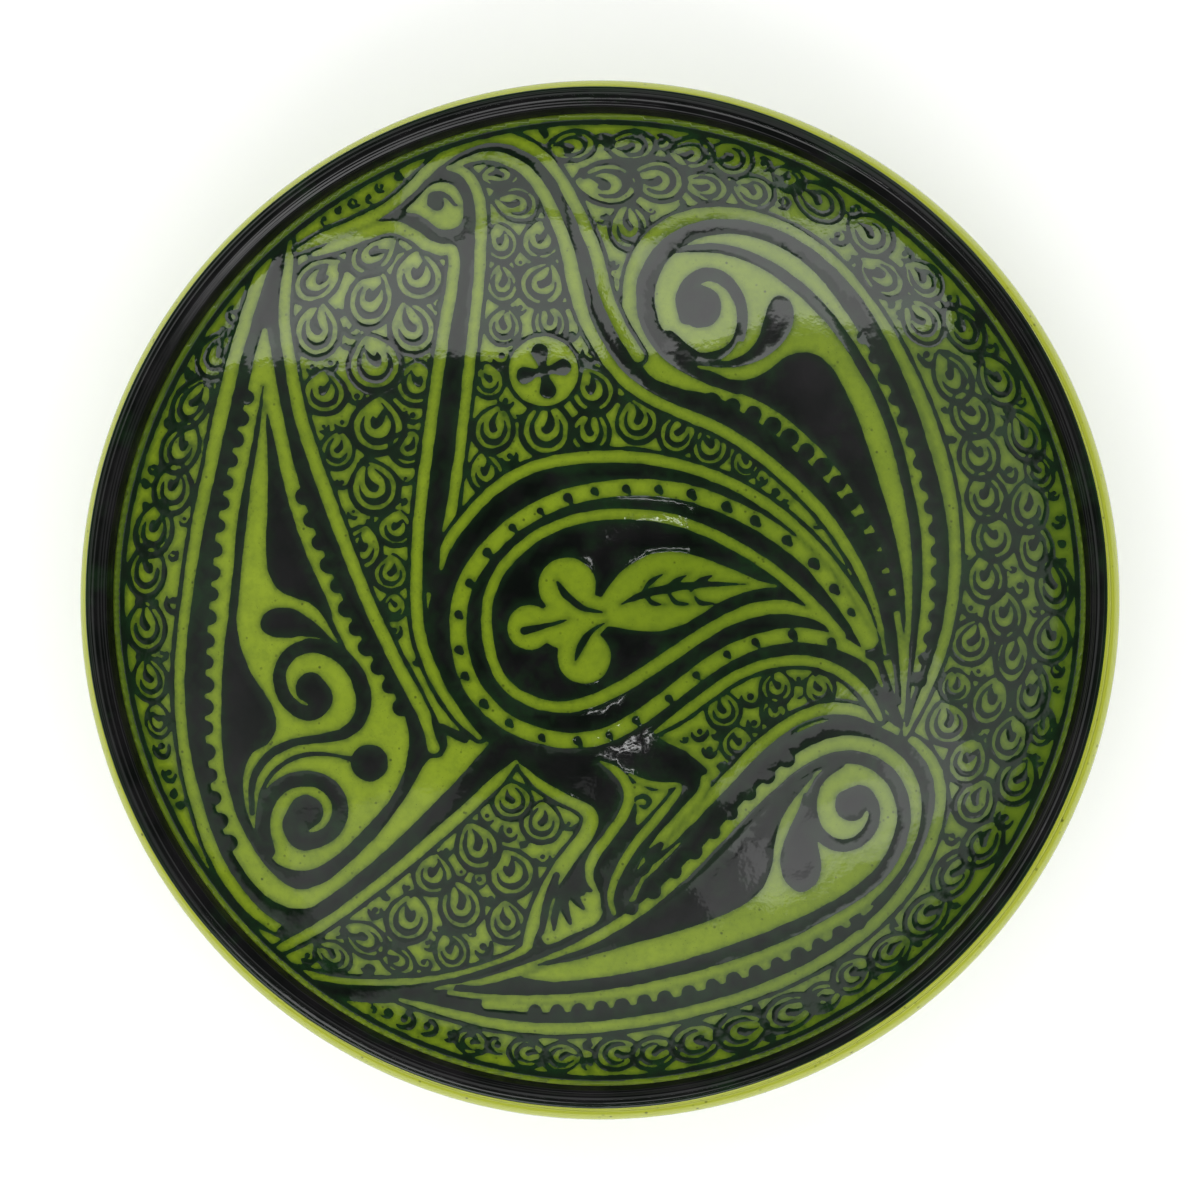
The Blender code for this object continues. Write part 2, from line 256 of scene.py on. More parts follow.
def head_and_neck():
    dark_edges(BEAK_AND_BACK, JAW_AND_NECK, NECK_RIGHT, BACK_INNER)
    brush(BACK_BAND)
    brush(NECK_BAND, widen=0.8)
    brush([(-80, 101.6, 1), (-70, 105.6, 2.6), (-62, 110, 3.6), (-56, 113.6, 4)])
    brush([(-57, 111, 3), (-53, 109.2, 3), (-50, 106.6, 3.4), (-45.6, 105.4, 3.4), (-41, 106.6, 3)])
    blob([(-58, 113), (-50, 124), (-42, 124), (-37, 118), (-38, 106), (-46, 105), (-53, 109)])
    green_lines(BEAK_AND_BACK, JAW_AND_NECK, NECK_RIGHT, BACK_INNER)
    blob(FACE, dark=False)
    dot(-47.2, 114.8, 2.1)
    brush([
        (-46.6, 114.6, 1.6), (-49.4, 114.6, 1.2), (-49.2, 117.2, 1.1), (-46.4, 117.9, 1.2),
        (-43.6, 116.4, 1.2), (-42.2, 114.4, 1), (-40.8, 114.2, 0.6),
    ])


# ---- The round flower on the breast ----
FLOWER = (-16.4, 66.6)


def flower():
    """A plain rosette of four petals."""
    x, y = FLOWER
    dot(x, y, 11.4)
    dot(x, y, 10.1, dark=False)
    for k in range(4):
        turn = math.radians(12 + 90 * k)
        c, s = math.cos(turn), math.sin(turn)
        brush([(x, y, 2.4), (x + 2.8 * c, y + 2.8 * s, 2.6), (x + 5.6 * c, y + 5.6 * s, 5)])


# ---- The body: rings round a black field ----
BODY_EDGE = [
    (-46.4, 9, 1.2), (-44.6, 16, 3), (-40, 22.6, 3.2), (-34, 29.4, 3.2), (-27, 35, 3.4),
    (-18, 39.2, 3.4), (-8, 41.2, 3.6), (2, 41.8, 3.6), (12, 41.4, 3.4), (22, 39.6, 3.2),
    (32, 36.6, 3.2), (41, 32.6, 3.2), (50, 27, 3.2), (58, 20.4, 3), (65.5, 13, 2.6), (72, 4.6, 2.2),
    (77.5, -4, 2), (80.5, -12, 1),
]
DOT_RING = [
    (-32, -31.8), (-37.4, -25), (-40.6, -16), (-41.4, -6), (-40, 2.6), (-36.6, 9.6), (-31.6, 16),
    (-25, 22), (-17.5, 26.6), (-9.5, 30), (-1, 31.9), (8, 32.8), (17, 32.6), (26.5, 31), (36.6, 27.4),
    (46, 22.8), (54.5, 17.2), (62, 10.8), (68.4, 3), (73.4, -3.8), (78, -12),
]
DOT_RING_UNDER = [
    (-32, -31.8, 4.4), (-26, -36.2, 4.6), (-17.5, -39.6, 4.6), (-8, -41, 4.6), (2, -39.4, 4.6),
    (11, -34.6, 4.6), (20, -28.2, 4.6), (28, -21.9, 4.6), (37, -15.9, 4.6), (46, -12.1, 4.4),
    (56, -10.2, 4.4), (66, -11.4, 4), (73.5, -14.4, 3.4), (79, -18.6, 2.2), (82, -25, 0.8),
]
INNER_RING = [
    (-31.6, -17), (-33, -9), (-32.6, 0), (-29.4, 8), (-24, 14.4), (-17, 19.6), (-8, 23.2), (2, 25),
    (12, 24.9), (22, 23.3), (32, 19.6), (42, 14.4), (51, 8.4), (59, 1.6), (66, -5.6), (70, -10.5),
]
INNER_RING_UNDER = [
    (-31.6, -17, 3), (-28.4, -23.6, 3), (-22, -28.6, 3.2), (-13, -31.2, 3.4), (-4, -30, 3.6),
    (4, -26.6, 3.8), (12, -22, 3.8), (20, -16.6, 3.8), (28, -11.2, 3.8), (36, -6.2, 4), (44, -3, 4.4),
    (52, -2, 4.2), (60, -3.4, 3.2), (66, -6.4, 2), (70, -10.5, 0.8),
]
DOTS = [
    (-41.2, -4.2, 1.3), (-41.2, -14.4, 1.3), (-39.4, -22, 1.2), (-34, -30, 1.4), (-26.6, -35.8, 1.3),
    (-17, -40, 1.2), (-6.6, -41, 1.3), (2.6, -39.4, 1.2), (10.4, -35, 1.2), (20, -28.6, 1.2),
    (28, -21.9, 1.2), (37, -15.8, 1.2), (45.2, -12.2, 1.3), (56, -10, 1.4), (67.4, -12.2, 1.3),
    (78.4, -16, 1.2), (-38.1, 5, 1.3), (-33, 13.9, 1.4), (-25.6, 21.2, 1.2), (-17.5, 26.1, 1.1),
    (-9.5, 29.9, 1.4), (-1.6, 31.7, 1.2), (7.6, 32.5, 1.3), (17, 32.4, 1.3), (26.5, 31, 1.5),
    (36.8, 27.3, 1.6), (45.2, 23.2, 1.6), (54.4, 17.4, 1.5), (62.2, 10.8, 1.6), (68.2, 3.3, 1.5),
    (73, -3.4, 1.2),
]
FIELD_TOP = [
    (-31, -10), (-30.8, -2), (-27, 6.4), (-21, 13), (-12, 18), (-2, 21.6), (8, 22.6), (18, 21.8),
    (28, 18.6), (38, 13.6), (47, 8.2), (55, 2.4), (61, -2.4),
]
FIELD_UNDER = [
    (61, -2.4), (54, 0), (46, -0.6), (38, -3.4), (30, -7.8), (22, -13), (14, -18.4), (6, -23), (-2, -26.6),
    (-10, -28.8), (-18, -28), (-25, -23.4), (-29.6, -17), (-31, -10),
]
BODY_LEAF = [
    (-3, -6), (1.6, 2.6), (7.6, 9.4), (15, 13.4), (23, 14), (31, 12), (39, 8.8), (46, 5.8), (52, 4),
    (45, 3), (37.6, 0.6), (31, -3.2), (24.6, -7), (18, -9), (11, -9), (5, -8),
]


def body():
    dark_edges(BODY_EDGE)
    blob([
        (-49, 2), (-46.8, 9), (-43, 16), (-36, 26), (-26, 34), (-12, 39.4), (4, 40.2), (20, 38),
        (36, 32.4), (50, 25), (62, 14.6), (72, 2), (80, -12), (85.6, -28), (88, -37), (84, -33),
        (78, -24), (70, -18), (60, -15.4), (48, -17), (38, -21.6), (28, -28.4), (20, -35), (16, -39),
        (26, -45), (31, -50.6), (20, -52), (8, -49), (-4, -45), (-14, -46), (-24, -45.6), (-33, -41),
        (-40, -33), (-45.6, -24), (-49, -14), (-50, -6),
    ])
    green_lines(BODY_EDGE)
    brush(DOT_RING, 4.9, dark=False)
    green_lines(DOT_RING_UNDER)
    brush(INNER_RING, 3.1, dark=False)
    green_lines(INNER_RING_UNDER)
    blob(FIELD_TOP, FIELD_UNDER)
    for x, y, radius in DOTS:
        dot(x, y, radius)
        dot(x + radius * 0.7, y - radius * 0.8, radius * 0.55)


def palmette():
    """A plain three-lobed palmette in the body's black field, with a pointed leaf growing from it."""
    for x, y, radius in ((-9.6, 4, 8.4), (-20.4, -8, 6.6), (-4.6, -16.6, 7.8)):
        dot(x, y, radius, dark=False)
    blob([(-17, -3), (-8, 0), (0, 1), (4, -4), (0, -10), (-8, -14), (-16, -12)], dark=False)
    blob(BODY_LEAF, dark=False)
    for x, y in ((-21.6, 2.6), (-15.6, -19.4)):
        dot(x, y, 3.4)
    brush([(-12.6, 5.4, 0.8), (-10, 1.6, 2.2), (-5, -2.4, 1.6), (1, -3.6, 0.6)])
    brush([(-7.4, -18, 0.8), (-5.4, -13, 2.2), (-2.4, -9, 1.4), (2, -6.4, 0.5)])
    brush([(-22, -9, 2.6), (-16, -7.6, 1.6), (-9, -5.6, 0.6)])
    brush([(6, -1.4, 0.6), (12, 1.4, 2), (19, 3.2, 2.4), (27, 4.2, 2), (35, 4.6, 1.2), (43, 4.6, 0.5)])
    for x in (13, 20, 27):
        brush([(x - 1, 2, 0.5), (x + 1.6, 5.2, 1.5), (x + 6, 8.4 - 0.04 * x, 0.5)])
        brush([(x, 2, 0.5), (x + 2.2, -0.8, 1.5), (x + 6.4, -2 + 0.04 * x, 0.5)])


# ---- The scrolled leaf at the upper right ----
SCROLL_EDGE = [
    (16, 66, 3), (11.4, 72, 3.4), (8.6, 79.5, 3.4), (8.2, 88, 3.4), (9.4, 96, 3.4), (13.2, 103.6, 3.4),
    (20, 109.2, 3.2), (29, 112, 3.2), (39, 112.1, 3), (49, 109.6, 3.2), (59, 104.5, 3.4),
    (68.5, 97, 3.4), (77, 87, 3.4), (84, 76.5, 3.4), (90, 65.5, 3.2), (95, 54, 3.2), (99, 42, 3.2),
    (101.8, 30, 3.2), (103, 18, 3.2), (103, 6, 3.2), (101.4, -6, 3), (98, -18, 2.8), (93.4, -29, 2.4),
    (88.6, -39, 1.2),
]
SCROLL_OUTLINE = [
    (14, 66), (10, 76), (10, 92), (16, 104), (26, 110), (40, 111), (54, 106), (68, 95), (80, 80),
    (90, 62), (98, 40), (102, 20), (101.6, 0), (97, -16), (91, -30), (88.4, -39), (87, -26),
    (85, -8), (80, 8), (70, 26), (54, 44), (36, 58), (22, 62),
]
SCROLL_BAND = [
    (40, 61.4, 3.4), (30, 65.6, 4), (21.4, 71, 5), (15.4, 78.5, 5.4), (13.2, 87, 5.4),
    (14.8, 95.6, 5.4), (20.4, 103, 5), (29, 107.4, 4.6), (39, 108.2, 4.2), (49, 106, 4.2),
    (58.6, 101, 4.4), (67, 93.6, 5.2), (74.6, 84, 6), (81, 73.4, 5.6), (86.6, 62, 5), (91.4, 50, 4.4),
    (95.2, 38, 4.2), (98, 27, 4), (99.4, 16, 3.8), (99.4, 5, 3.4), (98, -7, 3), (95, -18, 2.4),
    (91.6, -28, 1.6), (89, -37, 0.8),
]
SCROLL_LINE = [
    (21.6, 101, 0.6), (27, 102, 2.2), (34, 102, 2.8), (42, 100, 3), (51, 95.6, 3.2), (60, 88.6, 3.4),
    (68, 80, 3.2), (75, 70, 3), (81, 59, 3), (85.6, 47, 3), (88.8, 35, 3), (91.2, 23, 3.2),
    (92.2, 11, 3), (92, -1, 2.6), (91, -13, 2), (89.8, -25, 1.4), (88.8, -35, 0.8),
]
SCROLL_MASS_TOP = [
    (29, 65), (33, 65.6), (38, 64.2), (42.6, 64.1), (48, 66.2), (53, 70), (57.6, 71.9), (62.4, 71.4),
    (66.8, 68.2), (70, 63.2), (73.6, 56), (77, 47), (80, 38), (82.8, 29), (85.6, 19), (87.6, 9),
    (88.8, -3), (88.6, -14),
]
SCROLL_MASS_UNDER = [
    (88.6, -14), (86.6, 0), (83.4, 11), (78.6, 22.6), (72, 34), (64.4, 43.6), (56, 51.4), (48, 57),
    (40, 60.4), (29, 65),
]
SCROLL_RING = [
    (25, 82, 4), (24, 88, 4), (26.6, 92.6, 4), (31.4, 94.6, 4), (36.6, 92.6, 3.8), (40.4, 87.4, 3.4),
    (41.4, 81, 3.2), (40, 75.4, 3.2), (36.4, 71.8, 3.2), (31, 70.4, 3.2), (26, 70.6, 3),
]
SCROLL_DROP = [
    (47.6, 81), (49, 86), (51.8, 88.4), (55, 87), (56.3, 83), (55.2, 78), (51.6, 73.2), (46.6, 69.8),
    (41, 67.9), (35, 67.6), (37.6, 68.8), (42.4, 71.4), (45.6, 75.4),
]


def upper_scroll():
    dark_edges(SCROLL_EDGE, BACK_UPPER)
    blob(SCROLL_OUTLINE, dark=False)
    brush(BACK_BAND)
    green_lines(SCROLL_EDGE)
    scallops(BACK_UPPER, -1, 0.5, 2.5, 6.4, 27, 112)
    brush(SCROLL_BAND)
    scallops(SCROLL_BAND, -1, -0.4, 2.2, 6.6, 122, 232)
    brush(SCROLL_LINE)
    blob(SCROLL_MASS_TOP, SCROLL_MASS_UNDER)
    brush(SCROLL_RING)
    dot(29.2, 85.2, 6.1)
    brush([(40.6, 74.4, 2), (38, 70.4, 2.4), (34, 68.2, 2.6), (29, 68.6, 2.6)], dark=False)
    brush([(28, 71, 2.6), (24, 73, 4), (20, 76, 5)])
    brush([(47.4, 76, 1), (43, 71.4, 1.4), (38, 69, 1.6), (33, 68.6, 1.6), (28, 69, 1)])
    blob(SCROLL_DROP)


# ---- The standing leaf at the left ----
LEAF_LEFT = [
    (-91.8, 104, 0.8), (-96, 99, 2.8), (-99.6, 90, 3.4), (-102.8, 80, 3.6), (-105.8, 70, 3.8),
    (-108.2, 60, 4), (-110.6, 50, 4), (-112.6, 40, 3.6), (-114.8, 30, 3.6), (-116.8, 20, 3.4),
    (-118.4, 10, 3.2), (-119.8, 0, 3), (-121.2, -12, 3), (-121.8, -24, 3), (-121.2, -36, 3),
    (-119.4, -48, 3.2), (-116.6, -59, 3.4), (-113, -70, 3.4), (-108, -80, 3.4), (-101, -89, 3.2),
    (-93.6, -94.6, 2.8), (-86, -97, 2.4), (-81, -96.6, 1),
]
LEAF_RIGHT = [
    (-89.6, 105, 0.8), (-89.8, 99, 2.4), (-91, 90, 3), (-91.4, 80, 3.2), (-90, 70, 3.4), (-88.4, 60, 3.6),
    (-86, 50, 3.8), (-82.8, 40, 3.8), (-79.2, 30, 3.8), (-75.6, 20, 3.8), (-71.8, 10, 3.6), (-67.8, 0, 3.6),
    (-63.2, -10, 3.6), (-58.6, -19.4, 3.6), (-54, -28, 3.8), (-50.2, -36, 3.6), (-48.4, -43, 3.6),
]
LEAF_OUTLINE = [
    (-91, 106), (-89, 96), (-91, 82), (-88, 62), (-80, 34), (-70, 8), (-58, -18), (-51, -32),
    (-47, -46), (-55, -64), (-68, -78), (-80, -88), (-88, -96), (-98, -92), (-110, -76), (-117, -58),
    (-121, -34), (-120, -4), (-116, 26), (-109, 58), (-102, 84),
]
LEAF_BAND = [
    (-97, 78, 0.8), (-98.4, 68, 3.4), (-100.2, 58, 4), (-102.6, 48, 4.8), (-104.6, 38, 5.4),
    (-106.4, 28, 6), (-108, 18, 6), (-109.2, 8, 5.6), (-110.4, -2, 5), (-111.4, -12, 4.4),
    (-112, -24, 4), (-112.2, -34, 3.8), (-111.6, -44, 3.6), (-110.2, -54, 3.8), (-107.4, -64, 4.4),
    (-103, -73, 4.8), (-98, -80, 5), (-92.4, -85, 5), (-86.4, -86.6, 4.6), (-79, -84.4, 4.4),
    (-71, -78.6, 4.8), (-62, -70, 5.4), (-54.6, -61, 6.6), (-49, -52, 6.4),
]
LEAF_BRANCH = [
    (-97, 77, 1), (-96.6, 68, 3.4), (-95.2, 58, 4), (-93.2, 48, 4), (-91, 38, 4.2), (-88.4, 28, 4.8),
    (-85.4, 19, 5.2), (-81.8, 10, 5), (-77.8, 0.6, 4.8), (-73.4, -9, 4.6), (-68.6, -18, 4.8),
    (-63, -27, 4.6), (-58.4, -34, 3),
]
LEAF_HEART = [
    (-97.4, 60), (-100, 45), (-102.4, 30), (-103.8, 18), (-104.8, 8), (-105.6, 0), (-105.6, -8),
    (-104.2, -15), (-101.4, -22), (-97.4, -28), (-94.6, -33), (-94.2, -38), (-96.6, -41.8),
    (-100.8, -44.4), (-103.2, -50), (-103.2, -57), (-101.4, -64), (-98, -71), (-93.4, -76.4),
    (-88, -78.4), (-82, -77.6), (-75.6, -73.4), (-68.4, -66.6), (-61.4, -58.4), (-57.4, -51),
    (-55.8, -44), (-56, -37), (-58.4, -31), (-62, -26.4), (-66, -24.6), (-70, -21), (-76, -12.4),
    (-82, -2), (-88, 10), (-92, 30), (-96.4, 50),
]
LEAF_MASS_LEFT = [
    (-97.2, 58), (-96.6, 46), (-96.4, 34), (-96.8, 22), (-97, 13), (-95.8, 6.4), (-92.4, 2.2),
    (-87.4, 0.2), (-83.6, -1.4), (-80, -5.4), (-77.4, -10.4),
]
LEAF_MASS_RIGHT = [
    (-77.4, -10.4), (-78.4, -3), (-81.6, 5), (-85.4, 13.4), (-88.8, 23), (-91.6, 33), (-94, 44),
    (-97.2, 58),
]
LEAF_DROP = [
    (-98.7, -6.6), (-97, -3.6), (-93, -2.2), (-88.6, -2.8), (-84.4, -5.4), (-80, -9.4), (-75.6, -14),
    (-80, -11.6), (-85, -10.4), (-90, -11), (-94.6, -10.8), (-97.8, -9.2),
]
LEAF_SPIRAL = [
    (-84, -25.6, 9), (-80.6, -29, 6), (-83.6, -32.8, 4.6), (-88.4, -31.6, 4.2), (-92.2, -27, 3.8),
    (-93, -21, 3.6), (-90, -15.6, 3.8), (-84.6, -13.4, 4), (-78.4, -14.6, 4.2), (-73, -18.4, 4.4),
    (-69.8, -24, 4.6), (-68.8, -30, 4.4), (-70.4, -35.4, 4), (-74.6, -38.8, 3.4), (-81, -40.2, 2.6),
    (-88, -41.2, 2.4), (-94.6, -44, 2.4), (-99.2, -49, 2.2), (-101, -55, 2), (-100.8, -62, 1.4),
]
LEAF_CURL = [
    (-85.4, -61.6, 10), (-88.6, -65.6, 7), (-86.6, -69.6, 5.6), (-81.6, -69.4, 4.8), (-77, -66, 4.6),
    (-75.4, -60.6, 4.6), (-77.6, -55.2, 4.6), (-82.6, -52.2, 4.6), (-88.6, -52.2, 4.4), (-93.8, -55, 4.4),
    (-97, -60.4, 4.4), (-97.6, -67, 4), (-95.6, -73, 3),
]


def left_leaf():
    dark_edges(LEAF_LEFT, LEAF_RIGHT)
    blob(LEAF_OUTLINE)
    brush(LEAF_BAND, widen=0.9, dark=False)
    brush(LEAF_BRANCH, widen=0.6, dark=False)
    blob([(-33.6, -40), (-36, -46), (-42, -55), (-50, -63), (-58, -66), (-55, -56), (-50.4, -47),
          (-46, -45.8), (-42, -43)], dark=False)
    blob(LEAF_HEART, dark=False)
    brush([(-97.6, 62, 0.8), (-100, 46, 1.6), (-102.2, 34, 2), (-104, 22, 2.6), (-105.4, 8, 2.4),
           (-106.6, -4, 2.6)])
    blob([(-106, 0), (-105.2, -9), (-103.4, -16), (-100.8, -22), (-97, -27.6), (-94.4, -33), (-94.3, -37.4),
          (-96.8, -41.4), (-101, -43.8), (-104, -49), (-106, -52), (-109, -42), (-109.8, -30), (-109, -14)])
    blob(LEAF_MASS_LEFT, LEAF_MASS_RIGHT)
    blob(LEAF_DROP)
    brush(LEAF_SPIRAL)
    brush(LEAF_CURL)
    dot(-67, -47.4, 5.4)
    brush([(-71, -46.6, 1.4), (-78, -45, 1.2), (-84, -44.8, 1.2), (-90, -46.4, 1.3), (-95, -50.2, 1.3),
           (-98, -55.4, 1.3), (-99.2, -62, 0.9)])
    green_lines(LEAF_RIGHT, LEAF_LEFT)
    scallops(LEAF_BAND, -1, 0.2, 2.3, 6.6, 20, 158)
    scallops(LEAF_BRANCH, 1, 0.2, 2.4, 6.8, 48, 118)
    brush([(-48.6, -35, 1), (-46.6, -39, 3), (-45.6, -42.6, 2), (-46.2, -45.6, 0.6)])
    brush([(-46, -37, 2), (-42.4, -39, 2.6), (-39.4, -40.8, 2.2)])


# ---- The leaf lying along the bottom ----
LOW_EDGE_TOP = [
    (14, -76, 1), (20, -70, 2.6), (27, -63, 3), (34.5, -55, 3.2), (43, -46, 3.4), (51, -38.8, 3.4),
    (59, -33.8, 3.4), (67, -31.6, 3.4), (75, -32.4, 3.2), (82, -35.6, 2.8), (88.4, -39.4, 1.6),
]
LOW_EDGE = [
    (88.4, -39.4, 1.6), (93, -42.6, 3), (97.2, -48.6, 3.2), (98.8, -56.4, 3.2), (97.2, -66, 3.2),
    (92.2, -78, 3.2), (84.4, -88.6, 3.2), (73.4, -98.6, 3.2), (60, -107, 3.2), (45, -113.6, 3.2),
    (28, -118.8, 3.2), (10, -122.4, 3.2), (-10, -124.2, 3.2), (-28, -123, 3), (-44, -119.4, 2.6),
    (-58, -115.6, 1),
]
LOW_BAND = [
    (-98, -106, 1), (-86, -111, 3.4), (-72, -113.6, 4), (-56, -114, 4.4), (-41, -111.8, 4.6),
    (-27, -107.6, 4.8), (-14, -102.4, 5), (-2, -96.4, 5.4), (9, -89, 6), (19, -80.6, 6.4),
    (27.6, -72, 6.8), (35.6, -63, 7), (44, -54, 6.6), (52, -46.4, 6), (60.4, -40.4, 5),
    (69, -37.4, 4.4), (77, -37.8, 4.4), (84.6, -41.4, 4.6), (91, -47.4, 4.4), (94.4, -56, 4),
    (94, -66, 3.8), (90, -76, 4), (82.6, -85.6, 4), (72.4, -94.8, 4), (60, -102.6, 4), (46, -109, 4),
    (30, -114.4, 4), (13, -118.2, 4), (-6, -120.4, 4), (-24, -120.2, 3.6), (-42, -117.4, 2.6),
    (-56, -114.6, 1.4),
]
LOW_OUTLINE = [
    (-60, -114), (-42, -110.4), (-20, -104), (0, -94), (18, -80), (34, -64), (48, -49), (62, -39),
    (76, -36), (88, -43), (95.4, -54), (94, -70), (84, -86), (66, -100), (44, -111), (18, -118.4),
    (-10, -121), (-36, -118.6),
]
LOW_HEART = [
    (-24, -109.4), (-8, -103.8), (8, -96), (20, -87.6), (30, -79), (38, -71), (46, -62.4), (53, -55.6),
    (60, -50.6), (68, -47.8), (76, -47.8), (83, -51.4), (87, -58), (87, -67), (83.4, -76), (76, -84),
    (66, -90.6), (54, -96.4), (41, -101.4), (26, -106), (10, -109.6), (-6, -111.4), (-24, -109.4),
]
LOW_MASS_TOP = [
    (63, -50.4), (55, -54.8), (47, -62), (39, -70.4), (31, -78.6), (21, -87), (9, -94.6), (-5, -101.2),
    (-21, -106.6),
]
LOW_MASS_UNDER = [
    (-21, -106.6), (-8, -104.6), (6, -100.8), (20, -97), (31, -93.4), (41, -89), (47, -84), (49.8, -78),
    (50.8, -71), (53, -63.6), (57, -57.2), (63, -50.4),
]
LOW_RING = [
    (50, -58, 3), (58, -51, 3.2), (66, -46.8, 3.4), (74, -45.8, 3.6), (81.4, -48.8, 3.8),
    (86.6, -55, 4), (88.2, -63, 4), (86, -72, 4), (80.6, -80, 4), (72, -86.8, 3.8), (62, -92.2, 3.6),
    (50, -97.4, 3.4), (37, -102.2, 3.2), (22, -106.6, 3), (6, -110, 2.8), (-12, -112, 2.4),
    (-30, -112.6, 1.6), (-42, -112, 1),
]
LOW_RIM = [
    (-48, -112.6, 0.8), (-34, -110.6, 2), (-20, -106.4, 2.6), (-8, -101.6, 2.8), (4, -95, 3),
    (15, -87.6, 3.2), (25, -78.8, 3.4), (33, -70.6, 3.4), (41, -62, 3.6), (49, -54.2, 3.8),
    (57, -47.4, 4), (65.6, -42.8, 4.2), (74, -41.6, 4.2), (82, -44, 4.2), (88.4, -49.6, 4.2),
    (91.2, -57.6, 4), (90.6, -66.6, 3.6), (86.6, -76, 3.4), (79, -85.2, 3.2), (69, -92.6, 3.2),
    (56.6, -99.2, 3.2), (42, -105, 3.2), (26, -109.8, 3.2), (8, -113.6, 3), (-10, -115.6, 2.6),
    (-28, -115.4, 2), (-44, -113.8, 1),
]
LOW_DROP = [
    (59.6, -55.6), (57.6, -61), (54.4, -68), (52.4, -75.4), (53.6, -81.4), (58, -84.8), (62.6, -82.6),
    (64.2, -77.4), (63.2, -71.6), (61.2, -65.6), (60.2, -60),
]
LOW_SPIRAL = [
    (73, -59.4, 9.6), (76.4, -57, 6), (79.6, -61, 3.6), (78.4, -66.6, 3.6), (74, -70.6, 3.6),
    (68.4, -71, 3.6), (63.8, -67.8, 3.4), (61.6, -62.4, 3.2), (61.8, -56.6, 3), (64.6, -51.4, 2.6),
    (70, -47.6, 2.4),
]
LOW_GROOVE = slice(212, 345, 6)  # the points of the rim that have a green groove beside them


def lower_leaf():
    dark_edges(LOW_EDGE_TOP, LOW_EDGE)
    brush(LOW_BAND, widen=0.6)
    blob(LOW_OUTLINE)
    blob(LOW_HEART, LOW_HEART[:1] * 2, dark=False)  # the second curve has no length: it keeps a corner
    green_lines(LOW_RIM)
    groove = beside(LOW_RIM, 1, 1.1)[LOW_GROOVE]
    brush([(x, y, min(2.8, 0.3 + 0.5 * k)) for k, (x, y) in enumerate(groove)], dark=False)
    green_lines(LOW_EDGE_TOP, LOW_EDGE)
    blob(LOW_MASS_TOP, LOW_MASS_UNDER)
    brush(LOW_RING)
    brush(LOW_SPIRAL)
    blob(LOW_DROP)
    scallops(LOW_RIM, 1, 0.4, 2.3, 8, 62, 132)
    scallops(LOW_RIM, 1, 2.3, 2.2, 6.6, 222, 326)


# ---- The pointed field at the lower left ----
SPUR_TOP = [
    (-24.2, -46.8, 1), (-30, -52.6, 3.2), (-38, -60.2, 3.4), (-48, -69, 3.4), (-58, -77.6, 3.2),
    (-69, -86.2, 3), (-80, -94, 3), (-90, -99.6, 2.6), (-98, -103.6, 1),
]
SPUR_RIGHT = [
    (-24.2, -46.8, 1), (-18.6, -52.6, 3), (-12, -57, 3.2), (-5.6, -60, 3.6), (-2.6, -63.6, 4.4),
    (-5, -70, 4.6), (-10.4, -77, 5), (-15.4, -85, 4.6), (-19, -93, 4), (-21, -99.6, 2.6),
]
SPUR_LOW = [
    (-98, -103.6, 1), (-88, -107.6, 2.6), (-76, -110.4, 2.8), (-62, -111.2, 2.8), (-48, -110.2, 2.8),
    (-35, -107.4, 2.8), (-25.6, -104, 2.8), (-20.6, -100.4, 2),
]


def lower_left_field():
    brush([(-28, -43, 8), (-40, -56, 7.4), (-50, -65.4, 6.4), (-60, -74.4, 5.6), (-71, -83.4, 5),
           (-82, -90.8, 4.4), (-92, -96, 3)])
    dark_edges(SPUR_TOP, SPUR_RIGHT, SPUR_LOW)
    green_lines(SPUR_TOP, SPUR_RIGHT, SPUR_LOW)


